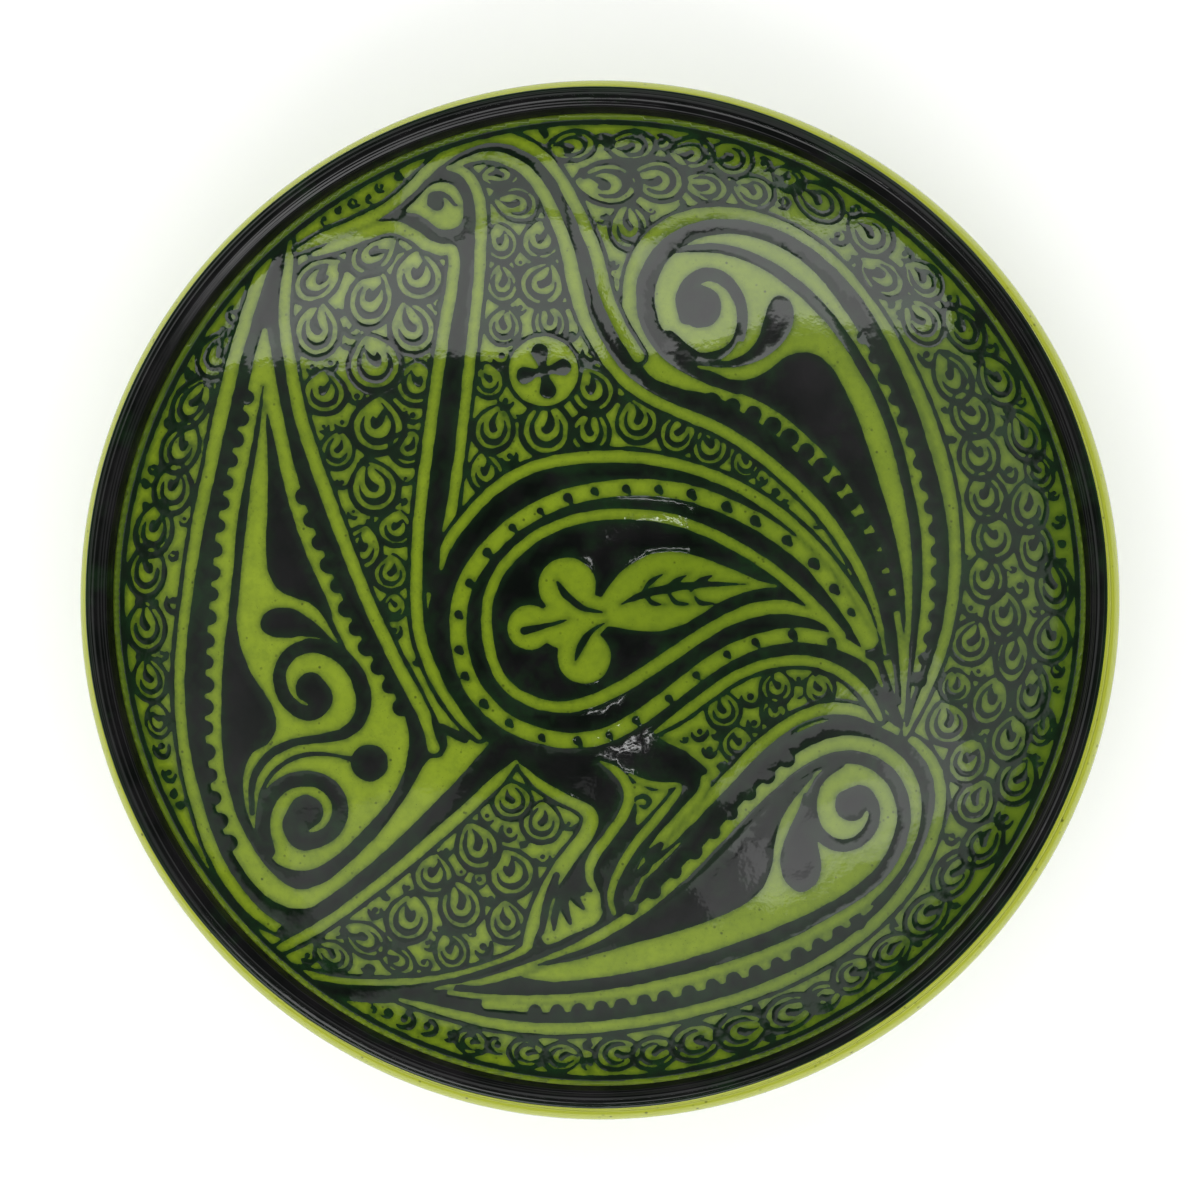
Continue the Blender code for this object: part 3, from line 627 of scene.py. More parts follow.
# ---- The legs ----
def legs():
    blob([(-24, -46), (-17, -52.4), (-10, -56.4), (-3, -59.6), (0, -63), (-1.4, -68), (-5.6, -74),
          (-10.6, -81), (-14.6, -88), (-17.6, -95), (-18.6, -101), (-14, -100), (-9, -97), (-3, -93),
          (2, -91), (6, -90), (7, -86), (13, -78), (20, -70), (26, -63), (31, -57), (32, -50),
          (26, -44), (14, -38), (0, -42), (-14, -44)])
    brush([(0, -47, 0.8), (4.4, -49.6, 2.2), (7.6, -53.4, 2.8), (8.4, -58, 3), (6.4, -63.4, 3),
           (2, -69.4, 3), (-2, -75, 3), (-3.6, -80.4, 3.2), (-2.4, -86, 4), (-3.4, -92, 4)], dark=False)
    blob([(-14.6, -89), (-12, -85), (-9, -85), (-5, -86), (-1, -84), (1, -89), (-1, -94), (-8, -97),
          (-15, -100), (-17.4, -96)], dark=False)
    brush([(15.6, -39.6, 1), (22, -43.2, 2.6), (28, -46.8, 2.8), (30.8, -51, 2.8), (29.6, -56.2, 2.8),
           (25, -61.6, 3), (20, -67, 3), (15.6, -72.4, 2.8), (12, -79, 3.4), (9, -86, 3.4)], dark=False)
    brush([(8.4, -50.6, 0.8), (12.6, -53, 1.8), (18, -54.1, 1.9), (23.4, -54, 1.4), (20.6, -58.6, 2.4),
           (15.6, -64.8, 2.6), (10, -71.4, 2.4), (5.4, -79, 2.4), (3, -86, 2), (4, -91, 1.4)], dark=False)
    blob([(9.6, -53.6), (15, -55.6), (20, -55.6), (15, -61.6), (10.6, -65.6), (10.6, -59)], dark=False)
    brush([(10.4, -58, 1.2), (12.6, -57, 1.4), (14.6, -58.6, 1.4), (13, -60.6, 1), (11.4, -59.8, 0.7)])
    brush([(10.4, -62, 0.8), (7.4, -68, 1), (3, -74.4, 1), (0.6, -81, 1), (0.6, -90, 0.8)])
    for x, y in ((15.2, -74), (13, -78.4), (9.8, -81.8), (7.6, -86)):
        brush([(x - 1.6, y - 1.6, 1.2), (x, y, 3), (x + 2.6, y + 3.4, 1)])
    for claw in (
        [(-12.6, -80, 2), (-15.4, -88, 2.4), (-17, -96.6, 1.6)],
        [(-11.4, -84, 1.2), (-13, -91, 2.2), (-13.4, -96, 1)],
        [(-9.4, -82, 2), (-10.4, -89, 2.6), (-8.6, -94, 1.2)],
        [(-7, -78, 2), (-7.6, -85.6, 3), (-4.6, -90, 1)],
        [(-5.2, -77, 1.6), (-5, -82.6, 2.4), (-2.4, -84.6, 1)],
    ):
        brush(claw)
    brush([(30.6, -58, 0.6), (25, -65, 1.6), (18.6, -72, 0.6)], dark=False)


# ---- The field under the body ----
CRESCENT = [
    (16, -38.6, 1), (23, -34, 2.8), (31, -28, 3), (40, -22, 3), (49, -18.6, 3), (58, -17.6, 3),
    (66, -19, 3), (73, -23, 3), (78, -28.4, 2.8), (81.6, -34.6, 1.6),
]


def crescent_edge():
    dark_edges(CRESCENT)
    green_lines(CRESCENT)


def draw_figures():
    left_leaf()
    lower_left_field()
    lower_leaf()
    legs()
    upper_scroll()
    head_and_neck()
    flower()
    body()
    palmette()
    crescent_edge()
    green_lines(BACK_INNER)


# ---- The ground: eyes like feathers or scales, packed between the figures ----
RING = [(0.02, 1.18, 0.1), (0.44, 0.92, 0.15), (0.86, 0.42, 0.17), (0.96, -0.16, 0.19),
        (0.66, -0.74, 0.22), (0.02, -0.99, 0.24), (-0.62, -0.76, 0.22), (-0.96, -0.18, 0.19),
        (-0.86, 0.4, 0.17), (-0.44, 0.9, 0.15), (0.02, 1.18, 0.1)]
CUP = [(0.06, 1.0, 0.04), (-0.26, 0.66, 0.1), (-0.54, 0.16, 0.17), (-0.44, -0.36, 0.24), (0.02, -0.56, 0.26),
       (0.46, -0.34, 0.2), (0.58, 0.08, 0.12), (0.48, 0.4, 0.04)]
COMMA = [(0.06, 0.9, 0.05), (0.18, 0.52, 0.16), (0.16, 0.2, 0.34), (0.0, 0.0, 0.32), (-0.16, 0.04, 0.12)]
HOOK = [(-0.16, 0.62, 0.06), (-0.1, 0.3, 0.26), (0.1, 0.06, 0.34), (0.2, 0.22, 0.2), (0.2, 0.42, 0.06)]
SLIVER = [(-0.62, 0.5, 0.1), (-0.72, 0.0, 0.3), (-0.4, -0.56, 0.46), (0.2, -0.7, 0.4), (0.66, -0.34, 0.26),
          (0.74, 0.14, 0.1)]
EYES = [  # listed middles and sizes, the rest of the ground is filled between them
    (-82, 92.5, 6.6), (-66, 100, 6.2), (-52.6, 93.6, 7), (-66.4, 87, 7.2), (-82, 78, 7), (-54.4, 79, 7),
    (-65.4, 68.4, 7.6), (-80, 60, 6), (-53.4, 62.6, 6), (-64.6, 50.4, 7.6), (-76.4, 43.4, 5),
    (-56, 44, 5), (-65.6, 32.6, 7), (-59.4, 20.6, 5), (-61, 7.6, 5), (-60, -2, 3.6), (-28.4, 123, 4.6),
    (-24, 115, 5.6), (-28.6, 103.4, 5), (-17, 104, 5.6), (-28.4, 91.6, 5), (-17, 91.6, 6.4),
    (-28, 79.4, 5), (-14.6, 80.6, 5), (-32.4, 63.6, 4.6), (-31, 49.6, 6), (-15.6, 49.6, 7.4),
    (-2, 60.8, 6.4), (-3, 48.6, 6), (-33, 36.8, 5.4), (11, 52, 6), (22.6, 48.6, 5.6), (32, 44.6, 5.4),
    (42.6, 40, 4.2), (2.6, 120.6, 7.2), (17, 121.6, 6.6), (31, 119.6, 5.2), (8.6, 108, 6),
    (44.6, 118, 5.2), (38, 127.6, 5.4), (-25.6, -58.6, 5.4), (-17, -65, 5.6), (-35.6, -72, 6.4),
    (-25.6, -79.6, 6.6), (-48.4, -80, 5.6), (-40.4, -89, 6.4), (-27, -93.6, 5.6), (-55.6, -92.6, 6.4),
    (-68, -98.4, 5.4), (-43, -102, 5), (36, -32.4, 5), (51.4, -25.6, 4.6), (64, -26, 4.4),
    (40, -42, 4.6), (50.6, -32.6, 3.8), (29, -38.6, 3),
]
SIZES = (6, 5.3, 4.6, 4, 3.4, 2.8, 2.3, 1.8)
WHOLE_EYE = 3.6  # the smallest size with a ring and a cup; smaller gaps take one curved stroke
SWELL = 1.05  # how much larger than its room an eye is drawn, so that neighbours' rings touch
RIM_ZONE = 106  # radius from which the eyes start to lie along the rim
RIM_ZONE_WIDTH = 14  # and the way over which they turn to it
EYE_OVERLAP = 0.9  # how far an eye's ink may run in under the edge of a figure
TURNED_LEFT_OF = -40  # left of this the eyes lie the other way round the rim


def turned_points(shape, x, y, size, turn, squash, flip):
    """An eye's stroke, made for a size of 1 at the middle, put in its place."""
    c, s = math.cos(turn), math.sin(turn)
    out = []
    for px, py, width in shape:
        px, py = px * squash * flip * size, py / squash * size
        out.append((x + px * c - py * s, y + px * s + py * c, width * size))
    return out


def eye(x, y, size, rng):
    """One feather eye: a drop-shaped ring, a cup in it, and a comma in the middle."""
    along_rim = min(max((math.hypot(x, y) - RIM_ZONE) / RIM_ZONE_WIDTH, 0), 1)
    angle = math.atan2(y, x)
    if x < TURNED_LEFT_OF:
        angle -= math.copysign(math.pi, y)
    turn = rng.uniform(-0.4, 0.4) * (1 - 0.7 * along_rim) + angle * along_rim
    squash = rng.uniform(0.94, 1.06) - 0.16 * along_rim
    place = (x, y, size * SWELL, turn, squash, rng.choice((-1, 1)))
    if size < WHOLE_EYE:
        brush(turned_points(SLIVER, *place), widen=0.1)
        dot(x, y + 0.1 * size, 0.3 * size)
        return
    brush(turned_points(RING, *place), widen=0.2)
    brush(turned_points(CUP, *place), widen=0.1)
    brush(turned_points(rng.choice((COMMA, HOOK)), *place), widen=0.1)


def edge_tree():
    """The edges of the figures and of the painted circle, to measure the free room from."""
    figures = cover > 0
    middle = (slice(1, -1), slice(1, -1))
    within = figures[:-2, 1:-1] & figures[2:, 1:-1] & figures[1:-1, :-2] & figures[1:-1, 2:]
    rim = figures[middle] & ~within
    points = list(zip(GX[middle][rim][::2], GY[middle][rim][::2]))
    for angle in np.linspace(0, math.tau, 1500):
        points.append((PAINTED_RADIUS * math.cos(angle), PAINTED_RADIUS * math.sin(angle)))
    tree = KDTree(len(points))
    for i, (x, y) in enumerate(points):
        tree.insert((x, y, 0), i)
    tree.balance()
    return tree


def draw_ground():
    """Packs the free room with eyes, the largest first, and draws them under the figures' edges."""
    rng = random.Random(11)
    tree = edge_tree()
    coarse = (slice(None, None, 3), slice(None, None, 3))
    X, Y = GX[coarse], GY[coarse]
    free = (cover[coarse] < 0) & (np.hypot(X, Y) < PAINTED_RADIUS)
    xs, ys = X[free], Y[free]
    room = np.array([tree.find((x, y, 0))[2] for x, y in zip(xs, ys)])
    placed = []

    def place(x, y, size):
        placed.append((x, y, size))
        np.minimum(room, np.hypot(xs - x, ys - y) - size, out=room)

    for x, y, size in EYES:
        place(x, y, size)
    for size in SIZES:
        while True:
            fits = np.flatnonzero(room >= size)
            if not len(fits):
                break
            best = fits[np.argmin(room[fits])]
            place(xs[best], ys[best], size)
    figure_ink, figure_cover = ink.copy(), cover.copy()
    ink[:] = -DEEP
    for x, y, size in placed:
        eye(x, y, size, rng)
    ink[:] = np.maximum(figure_ink, np.minimum(ink, EYE_OVERLAP - figure_cover))
    radius = np.hypot(GX, GY)
    ring = np.minimum(radius - PAINTED_RADIUS, DRAWING_EDGE - radius)
    ink[:] = np.maximum(ink, np.clip(ring, -DEEP, DEEP))
    ink[:] = np.minimum(ink, np.clip(DRAWING_EDGE - radius, -DEEP, DEEP))


# ---- From the drawing to outlines ----
TRACE_TOLERANCE = 0.055  # how far an outline may stray where points are dropped
LONGEST_FLAT = 12  # most traced points dropped in a row where the well is even
LONGEST_BENT = 3  # and where it bends into the wall
BEND_START = 132  # radius from which it bends
BEVEL = 0.55  # how far in from its edge the slip reaches its height
SLIP_SPACING = 3.4  # between the loose points inside the slip
SLIP_SPACING_BENT = 1.1  # and past BEND_START
SLIP_LEAST = 0.02  # the slip's height at its very edge
SLIP_SUNK = 0.12  # how far under the glaze surface its body goes
THIN_REACH = 0.75  # how far in from its edge the slip looks thin
WAVER_FADE = 12  # the way over which the surface evens out towards the drawing's edge


def soften(field, times):
    """A small blur, as slip under melting glaze loses its sharp corners."""
    for _ in range(times):
        field = (np.roll(field, 1, 0) + np.roll(field, -1, 0) + 2 * field) / 4
        field = (np.roll(field, 1, 1) + np.roll(field, -1, 1) + 2 * field) / 4
    return field


def smooth_noise(size_mm, seed):
    """Seeded noise between -1 and 1 over the drawing, with blots about size_mm across."""
    count = int(2 * REACH / size_mm) + 3
    knots = np.random.default_rng(seed).uniform(-1, 1, (count, count))
    place = (axis + REACH) / size_mm
    low = place.astype(int)
    blend = place - low
    blend = blend * blend * (3 - 2 * blend)
    rows = knots[low] * (1 - blend)[:, None] + knots[low + 1] * blend[:, None]
    return rows[:, low] * (1 - blend) + rows[:, low + 1] * blend


def sample(field, x, y):
    """The field's value at points, by linear interpolation."""
    u = np.clip((np.asarray(x) + REACH) / PITCH, 0, len(axis) - 1.001)
    v = np.clip((np.asarray(y) + REACH) / PITCH, 0, len(axis) - 1.001)
    i, j = v.astype(int), u.astype(int)
    a, b = v - i, u - j
    top = field[i, j] * (1 - b) + field[i, j + 1] * b
    low = field[i + 1, j] * (1 - b) + field[i + 1, j + 1] * b
    return top * (1 - a) + low * a


def trace(field, level):
    """Closed outlines of the field at a level, by marching squares."""
    value = field - level
    inside = value > 0
    code = inside[:-1, :-1] * 1 + inside[:-1, 1:] * 2 + inside[1:, 1:] * 4 + inside[1:, :-1] * 8
    ends = {  # the sides where the outline enters and leaves a cell, for each way its corners can lie
        1: ((3, 0),), 2: ((0, 1),), 3: ((3, 1),), 4: ((1, 2),), 5: ((3, 2), (1, 0)),
        6: ((0, 2),), 7: ((3, 2),), 8: ((2, 3),), 9: ((2, 0),), 10: ((0, 3), (2, 1)),
        11: ((2, 1),), 12: ((1, 3),), 13: ((1, 0),), 14: ((0, 3),),
    }
    wide = len(axis)

    def key(i, j, side):
        """The grid edge on a side of a cell: edges along x are even, edges along y are odd."""
        if side == 0:
            return 2 * (i * wide + j)
        if side == 2:
            return 2 * ((i + 1) * wide + j)
        return 2 * (i * wide + j + (side == 1)) + 1

    following = {}
    for i, j in zip(*np.nonzero((code > 0) & (code < 15))):
        for a, b in ends[int(code[i, j])]:
            following[key(i, j, a)] = key(i, j, b)
    loops = []
    while following:
        start, here = following.popitem()
        loop = [start]
        while here != start:
            loop.append(here)
            here = following.pop(here)
        edges = np.array(loop)
        i, j = np.divmod(edges // 2, wide)
        upright = edges % 2
        i2, j2 = i + upright, j + 1 - upright
        first, second = value[i, j], value[i2, j2]
        share = first / (first - second)
        x = axis[j] + share * (axis[j2] - axis[j])
        y = axis[i] + share * (axis[i2] - axis[i])
        loops.append(np.column_stack([x, y]))
    return loops


def thinned(loop, tolerance):
    """The loop with only the points that its shape needs."""
    count = len(loop)
    far_point = int(np.argmax(((loop - loop[0]) ** 2).sum(1)))
    keep = np.zeros(count + 1, bool)
    keep[[0, far_point, count]] = True
    ring = np.vstack([loop, loop[:1]])
    spans = [(0, far_point), (far_point, count)]
    while spans:
        a, b = spans.pop()
        if b - a < 2:
            continue
        along = ring[b] - ring[a]
        length = max(math.hypot(*along), 1e-9)
        off = ring[a + 1 : b] - ring[a]
        gap = np.abs(off[:, 0] * along[1] - off[:, 1] * along[0]) / length
        gap = np.maximum(gap, np.where(off @ along < 0, np.hypot(*off.T), 0))
        worst = int(np.argmax(gap))
        longest = LONGEST_FLAT if math.hypot(*ring[a]) < BEND_START else LONGEST_BENT
        if gap[worst] > tolerance or b - a > longest:
            keep[a + 1 + worst] = True
            spans += [(a, a + 1 + worst), (a + 1 + worst, b)]
    return ring[:-1][keep[:-1]]


def outlines(field, level):
    """The outlines that are worth keeping, thinned."""
    found = [thinned(loop, TRACE_TOLERANCE) for loop in trace(field, level) if len(loop) > 8]
    return [loop for loop in found if len(loop) >= 4]


def hex_points(spacing):
    """Points in staggered rows over the whole drawing."""
    rows = np.arange(-REACH, REACH, spacing * 0.866)
    line = np.arange(-REACH, REACH, spacing)
    x = np.concatenate([line + (i % 2) * spacing / 2 for i in range(len(rows))])
    return np.column_stack([x, np.repeat(rows, len(line))])


def triangulate(points, loops):
    """Triangles over loose points and closed outlines, and the triangle sides that lie on the outlines."""
    verts = [Vector(p) for p in points]
    edges = []
    for loop in loops:
        start = len(verts)
        verts += [Vector(p) for p in loop]
        edges += [(start + k, start + (k + 1) % len(loop)) for k in range(len(loop))]
    made = delaunay_2d_cdt(verts, edges, [], 0, 1e-5, True)
    flat = np.array([tuple(v) for v in made[0]])
    fence = {tuple(sorted(edge)) for edge, sources in zip(made[1], made[4]) if sources}
    return flat, np.array(made[2]), fence


# ---- The dish's curves ----
def well_z(radius):
    """Height of the glaze in the well, then up the start of the wall."""
    ball = WELL_RADIUS - GLAZE_TOP
    end = ball * math.sin(math.radians(WELL_SLOPE))
    bend = WALL_BEND - GLAZE_TOP
    r = np.asarray(radius, float)
    floor = FLOOR_Z + WELL_RADIUS - np.sqrt(ball**2 - np.minimum(r, end) ** 2)
    low, high = math.radians(WELL_SLOPE), math.radians(WALL_SLOPE)
    centre_r = end - bend * math.sin(low)
    wall = bend * (math.cos(low) - np.sqrt(1 - np.clip((r - centre_r) / bend, 0, math.sin(high)) ** 2))
    return floor + np.where(r > end, wall, 0)


def waver(x, y):
    """The slow swell of a hand-thrown, thickly glazed surface."""
    out = 0
    for k, (length, turn, height) in enumerate(
        ((46, 0.4, 0.045), (33, 2.1, 0.03), (24, 1.2, 0.018), (61, 2.8, 0.05), (17, 0.1, 0.008))
    ):
        out = out + height * np.sin((x * math.cos(turn) + y * math.sin(turn)) * math.tau / length + 1.7 * k)
    return out


def top_z(x, y):
    """Height of the glaze surface in the well."""
    radius = np.hypot(x, y)
    return well_z(radius) + waver(x, y) * np.clip((DRAWING_EDGE - radius) / WAVER_FADE, 0, 1)


def raised(x, y, lift):
    """Points standing off the glaze surface, square to it."""
    normal = slope_normals(x, y)
    lift = np.broadcast_to(lift, x.shape)[:, None]
    return np.column_stack([x, y, top_z(x, y)]) + normal * lift


def slope_normals(x, y, rise=None):
    """Normals of the glaze surface, or of the slip standing on it."""
    step = 0.2
    gx = (top_z(x + step, y) - top_z(x - step, y)) / (2 * step)
    gy = (top_z(x, y + step) - top_z(x, y - step)) / (2 * step)
    if rise is not None:
        gx = gx + (sample(rise, x + PITCH, y) - sample(rise, x - PITCH, y)) / (2 * PITCH)
        gy = gy + (sample(rise, x, y + PITCH) - sample(rise, x, y - PITCH)) / (2 * PITCH)
    normal = np.column_stack([-gx, -gy, np.ones(len(x))])
    return normal / np.linalg.norm(normal, axis=1)[:, None]


def make_piece(name, verts, faces, fields, material, normals=None):
    """A piece from points in millimetres. Each field is a number for each point, for its material."""
    mesh = bpy.data.meshes.new(name)
    mesh.from_pydata((np.asarray(verts) * MM).tolist(), [], [tuple(map(int, f)) for f in faces])
    mesh.update()
    mesh.shade_smooth()
    for title, values in fields.items():
        layer = mesh.attributes.new(title, "FLOAT", "POINT")
        layer.data.foreach_set("value", np.asarray(values, np.float32))
    if normals is not None:
        mesh.normals_split_custom_set_from_vertices(normals.tolist())
    mesh.materials.append(material)
    obj = bpy.data.objects.new(name, mesh)
    bpy.context.scene.collection.objects.link(obj)
    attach(obj, "root")
    return obj


def slip_height(depth):
    """How proud the slip stands, from how deep a point lies inside it."""
    return SLIP_HEIGHT * (1 - np.exp(-np.maximum(depth, 0) / BEVEL)) + SLIP_LEAST


def make_painting(material):
    """The black slip: one thin closed body, rounded at its edges, standing on the glaze."""
    bent = hex_points(SLIP_SPACING_BENT)
    bent = bent[np.hypot(*bent.T) > BEND_START]
    points = np.vstack([hex_points(SLIP_SPACING), bent])
    points = points[sample(ink, *points.T) > 1.4 * BEVEL]
    flat, faces, fence = triangulate(points, outlines(ink, 0.0) + outlines(ink, 0.7 * BEVEL))
    faces = faces[keep_dark(flat, faces, fence)]
    used, compact = np.unique(faces, return_inverse=True)
    faces = compact.reshape(-1, 3)
    x, y = flat[used].T
    depth = sample(ink, x, y)
    rise = slip_height(ink)
    top = raised(x, y, slip_height(depth))
    under = raised(x, y, -SLIP_SUNK)
    first, second = border_edges(faces).T
    count = len(used)
    walls = [(first, first + count, second), (second, first + count, second + count)]
    all_faces = np.vstack([faces, faces[:, ::-1] + count, *(np.column_stack(w) for w in walls)])
    normals = np.vstack([slope_normals(x, y, rise), -slope_normals(x, y)])
    fields = {"thin": np.tile(np.exp(-np.maximum(depth, 0) / THIN_REACH), 2)}
    verts = np.vstack([top, under])
    return make_piece("slip_painting", verts, all_faces, fields, material, normals)


def border_edges(faces):
    """The sides that belong to only one triangle, in the order it runs through them."""
    pairs = np.vstack([faces[:, [0, 1]], faces[:, [1, 2]], faces[:, [2, 0]]])
    ordered = np.sort(pairs, axis=1)
    code = ordered[:, 0].astype(np.int64) * (faces.max() + 1) + ordered[:, 1]
    unique, counts = np.unique(code, return_counts=True)
    lone = np.isin(code, unique[counts == 1])
    return pairs[lone]


def keep_dark(flat, faces, fence):
    """Triangles on the black side: each patch between outlines goes by its deepest triangle."""
    middle = flat[faces].mean(axis=1)
    depth = sample(ink, *middle.T)
    group = np.arange(len(faces))

    def root(k):
        while group[k] != k:
            group[k] = group[group[k]]
            k = group[k]
        return k

    seen = {}
    for k, (a, b, c) in enumerate(faces.tolist()):
        for p, q in ((a, b), (b, c), (c, a)):
            side = (p, q) if p < q else (q, p)
            if side in fence:
                continue
            if side in seen:
                first, second = root(seen[side]), root(k)
                if first != second:
                    group[second] = first
            else:
                seen[side] = k
    label = np.array([root(k) for k in range(len(faces))])
    best = np.zeros(len(faces))
    order = np.argsort(np.abs(depth))
    best[label[order]] = depth[order]
    return best[label] > 0


# ---- The dish's profile, by distance along the clay from the middle of the well ----
ARC_STEP = 1.5  # degrees between points of an arc
AROUND = 720  # steps round the dish
TURN = np.linspace(0, math.tau, AROUND, endpoint=False)


def dish_path():
    """Rows of distance, radius, height and heading, over the lip and back under to the middle."""
    rows = [(0.0, 0.0, float(FLOOR_Z), 0.0)]

    def go(radius, turn):
        steps = max(4, int(abs(turn) / ARC_STEP))
        for _ in range(steps):
            s, r, z, h = rows[-1]
            da = math.radians(turn) / steps
            length = radius * abs(da)
            middle = h + da / 2
            rows.append((s + length, r + length * math.cos(middle), z + length * math.sin(middle), h + da))

    go(WELL_RADIUS, WELL_SLOPE)
    go(WALL_BEND, WALL_SLOPE - WELL_SLOPE)
    s, r, z, h = rows[-1]
    rows.append((s + WALL_RISE, r + WALL_RISE * math.cos(h), z + WALL_RISE * math.sin(h), h))
    go(LIP_RADIUS, -WALL_SLOPE)
    top = rows[-1][0]
    go(LIP_RADIUS, WALL_SLOPE - LIP_TURN)
    under = WELL_RADIUS + WALL
    go(SHOULDER_RADIUS, -math.degrees(math.pi - math.asin(SHOULDER_END / under) + rows[-1][3]))
    go(under, math.degrees(-math.pi - rows[-1][3]))
    return np.array(rows), top


PATH, S_LIP = dish_path()


def on_path(s, lift):
    """Radius and height of a point standing off the clay, at a distance along it."""
    r, z, h = (np.interp(s, PATH[:, 0], PATH[:, k]) for k in (1, 2, 3))
    return r - lift * np.sin(h), z + lift * np.cos(h)


def s_inside(radius):
    """Distance along the clay where the top of the glaze reaches a radius on its way up."""
    up = PATH[:, 0] <= S_LIP
    return float(np.interp(radius, PATH[up, 1] - GLAZE_TOP * np.sin(PATH[up, 3]), PATH[up, 0]))


def s_lip(degrees):
    """Distance along the clay at an angle past the top of the lip."""
    return S_LIP + LIP_RADIUS * math.radians(degrees)


def round_noise(seed, waves, height):
    """A closed wobble round the dish."""
    rng = random.Random(seed)
    out = np.zeros(AROUND)
    for k in waves:
        out += rng.uniform(0.4, 1) * np.sin(k * TURN + rng.uniform(0, math.tau)) / math.sqrt(k)
    return out * height


def ring_points(r, z):
    """A ring of points, its radius and height each a number or one for each step round."""
    r, z = r + np.zeros(AROUND), z + np.zeros(AROUND)
    return np.column_stack([r * np.cos(TURN), r * np.sin(TURN), z])


def ring_quads(first, second):
    """Quads between two rings of vertex numbers."""
    return np.column_stack([first, np.roll(first, -1), np.roll(second, -1), second])


def revolved(name, rings, thin, material):
    """A closed body from rings of (radius, height), with how thin its coat looks at each."""
    verts = np.vstack([ring_points(r, z) for r, z in rings])
    number = np.arange(len(verts)).reshape(len(rings), AROUND)
    faces = [ring_quads(after, before) for before, after in zip(number, np.roll(number, -1, axis=0))]
    fields = {"thin": np.repeat(thin, AROUND)}
    return make_piece(name, verts, np.vstack(faces), fields, material)


# ---- The glaze inside ----
GLAZE_SPACING = 1.16  # between the points of its fine mesh in the well
GLAZE_EDGE = 140.6  # radius where that mesh gives way to rings
GLAZE_END = 17  # degrees past the top of the lip where the glaze turns back under
UNDERSIDE = (*np.arange(139.9, 134, -0.7), 130, 120, 100, 80, 60, 40, 20, 6)  # radii of its rings
NEAR_REACH = 0.7  # how far beside the slip the glaze is darkened by it


def glaze_rings():
    """Rings over the lip, back under the glaze, and in towards the middle of the well."""
    start, end, under = s_inside(GLAZE_EDGE), s_lip(GLAZE_END), GLAZE_TOP - GLAZE_THICK
    rings = [on_path(s, GLAZE_TOP) for s in np.linspace(start, end, 16)[1:]]
    rings += [on_path(s, under) for s in np.linspace(end, start, 6)]
    return rings + [on_path(s_inside(r), under) for r in UNDERSIDE]


def pooled_and_shaded(x, y):
    """How far the glaze is darkened: in the middle, where it has pooled, and by painted shade over the right
    half, growing towards the wall, and low on the wall at the upper left.
    """
    radius = np.hypot(x, y)
    pool_and_shade = 0.33 * np.exp(-((np.hypot(x - 18, y) / 42) ** 2))
    # painted shade: darker over the right half, more so towards the wall
    pool_and_shade += np.clip(x / 140, 0, 1) ** 0.6 * (0.4 + 0.42 * np.clip((radius - 105) / 30, 0, 1))
    # painted shade low on the wall, on the side towards the upper left
    facing = np.cos(np.arctan2(y, x) - math.radians(150))
    pool_and_shade += np.clip(1.2 * facing, 0, 1) * np.clip((radius - 136) / 1.5, 0, 0.8)
    return np.minimum(pool_and_shade, 1)


def glaze_fields(x, y):
    """Where the glaze lies near the slip, where it has pooled, where painted shade darkens it, and where it
    runs thin on the lip.
    """
    radius = np.hypot(x, y)
    near = np.exp(-np.maximum(-sample(ink, x, y), 0) / NEAR_REACH)
    near[radius > 141] = 0.4
    return {"near": near, "pool_and_shade": pooled_and_shaded(x, y), "lip": np.clip((radius - 145.2) / 0.8, 0, 1)}


def make_glaze_inside(material):
    """The green glaze in the well: a fine mesh on top, then rings over the lip and back underneath."""
    points = hex_points(GLAZE_SPACING)
    points = points[np.hypot(*points.T) < GLAZE_EDGE - 0.8]
    flat, faces, _ = triangulate(points, [ring_points(GLAZE_EDGE, 0)[:, :2]])
    x, y = flat.T
    verts = [np.column_stack([x, y, top_z(x, y)])]
    last = np.arange(len(points), len(points) + AROUND)
    total = len(flat)
    strips = []
    for r, z in glaze_rings():
        verts.append(ring_points(r, z))
        number = np.arange(total, total + AROUND)
        strips.append(ring_quads(last, number))
        last = number
        total += AROUND
    verts = np.vstack([*verts, [[0, 0, FLOOR_Z + GLAZE_TOP - GLAZE_THICK]]])
    fan = np.column_stack([last, np.roll(last, -1), np.full(AROUND, total)])
    all_faces = [*faces, *np.vstack(strips).tolist(), *fan.tolist()]
    fields = glaze_fields(verts[:, 0], verts[:, 1])
    return make_piece("glaze_green", verts, all_faces, fields, material)


# ---- The band on the rim ----
BAND_INNER = 140.4  # radius where it starts on the wall
BAND_END = 19  # degrees past the top of the lip where it ends
BAND_RINGS = 44
BAND_SUNK = 0.2  # how far under the glaze surface its body goes


def band_rise(radius, share):
    """The band's height over the glaze: rounded at its edges, with the marks of the turning brush."""
    rise = 0.17 * min(1, 6 * share, 6 * (1 - share)) ** 0.5
    rise += 0.16 * math.exp(-(((radius - 142.2) / 0.28) ** 2))
    rise += 0.2 * math.exp(-(((radius - 144.6) / 0.95) ** 4))
    return rise - 0.1 * math.exp(-(((radius - 146.2) / 0.3) ** 2))


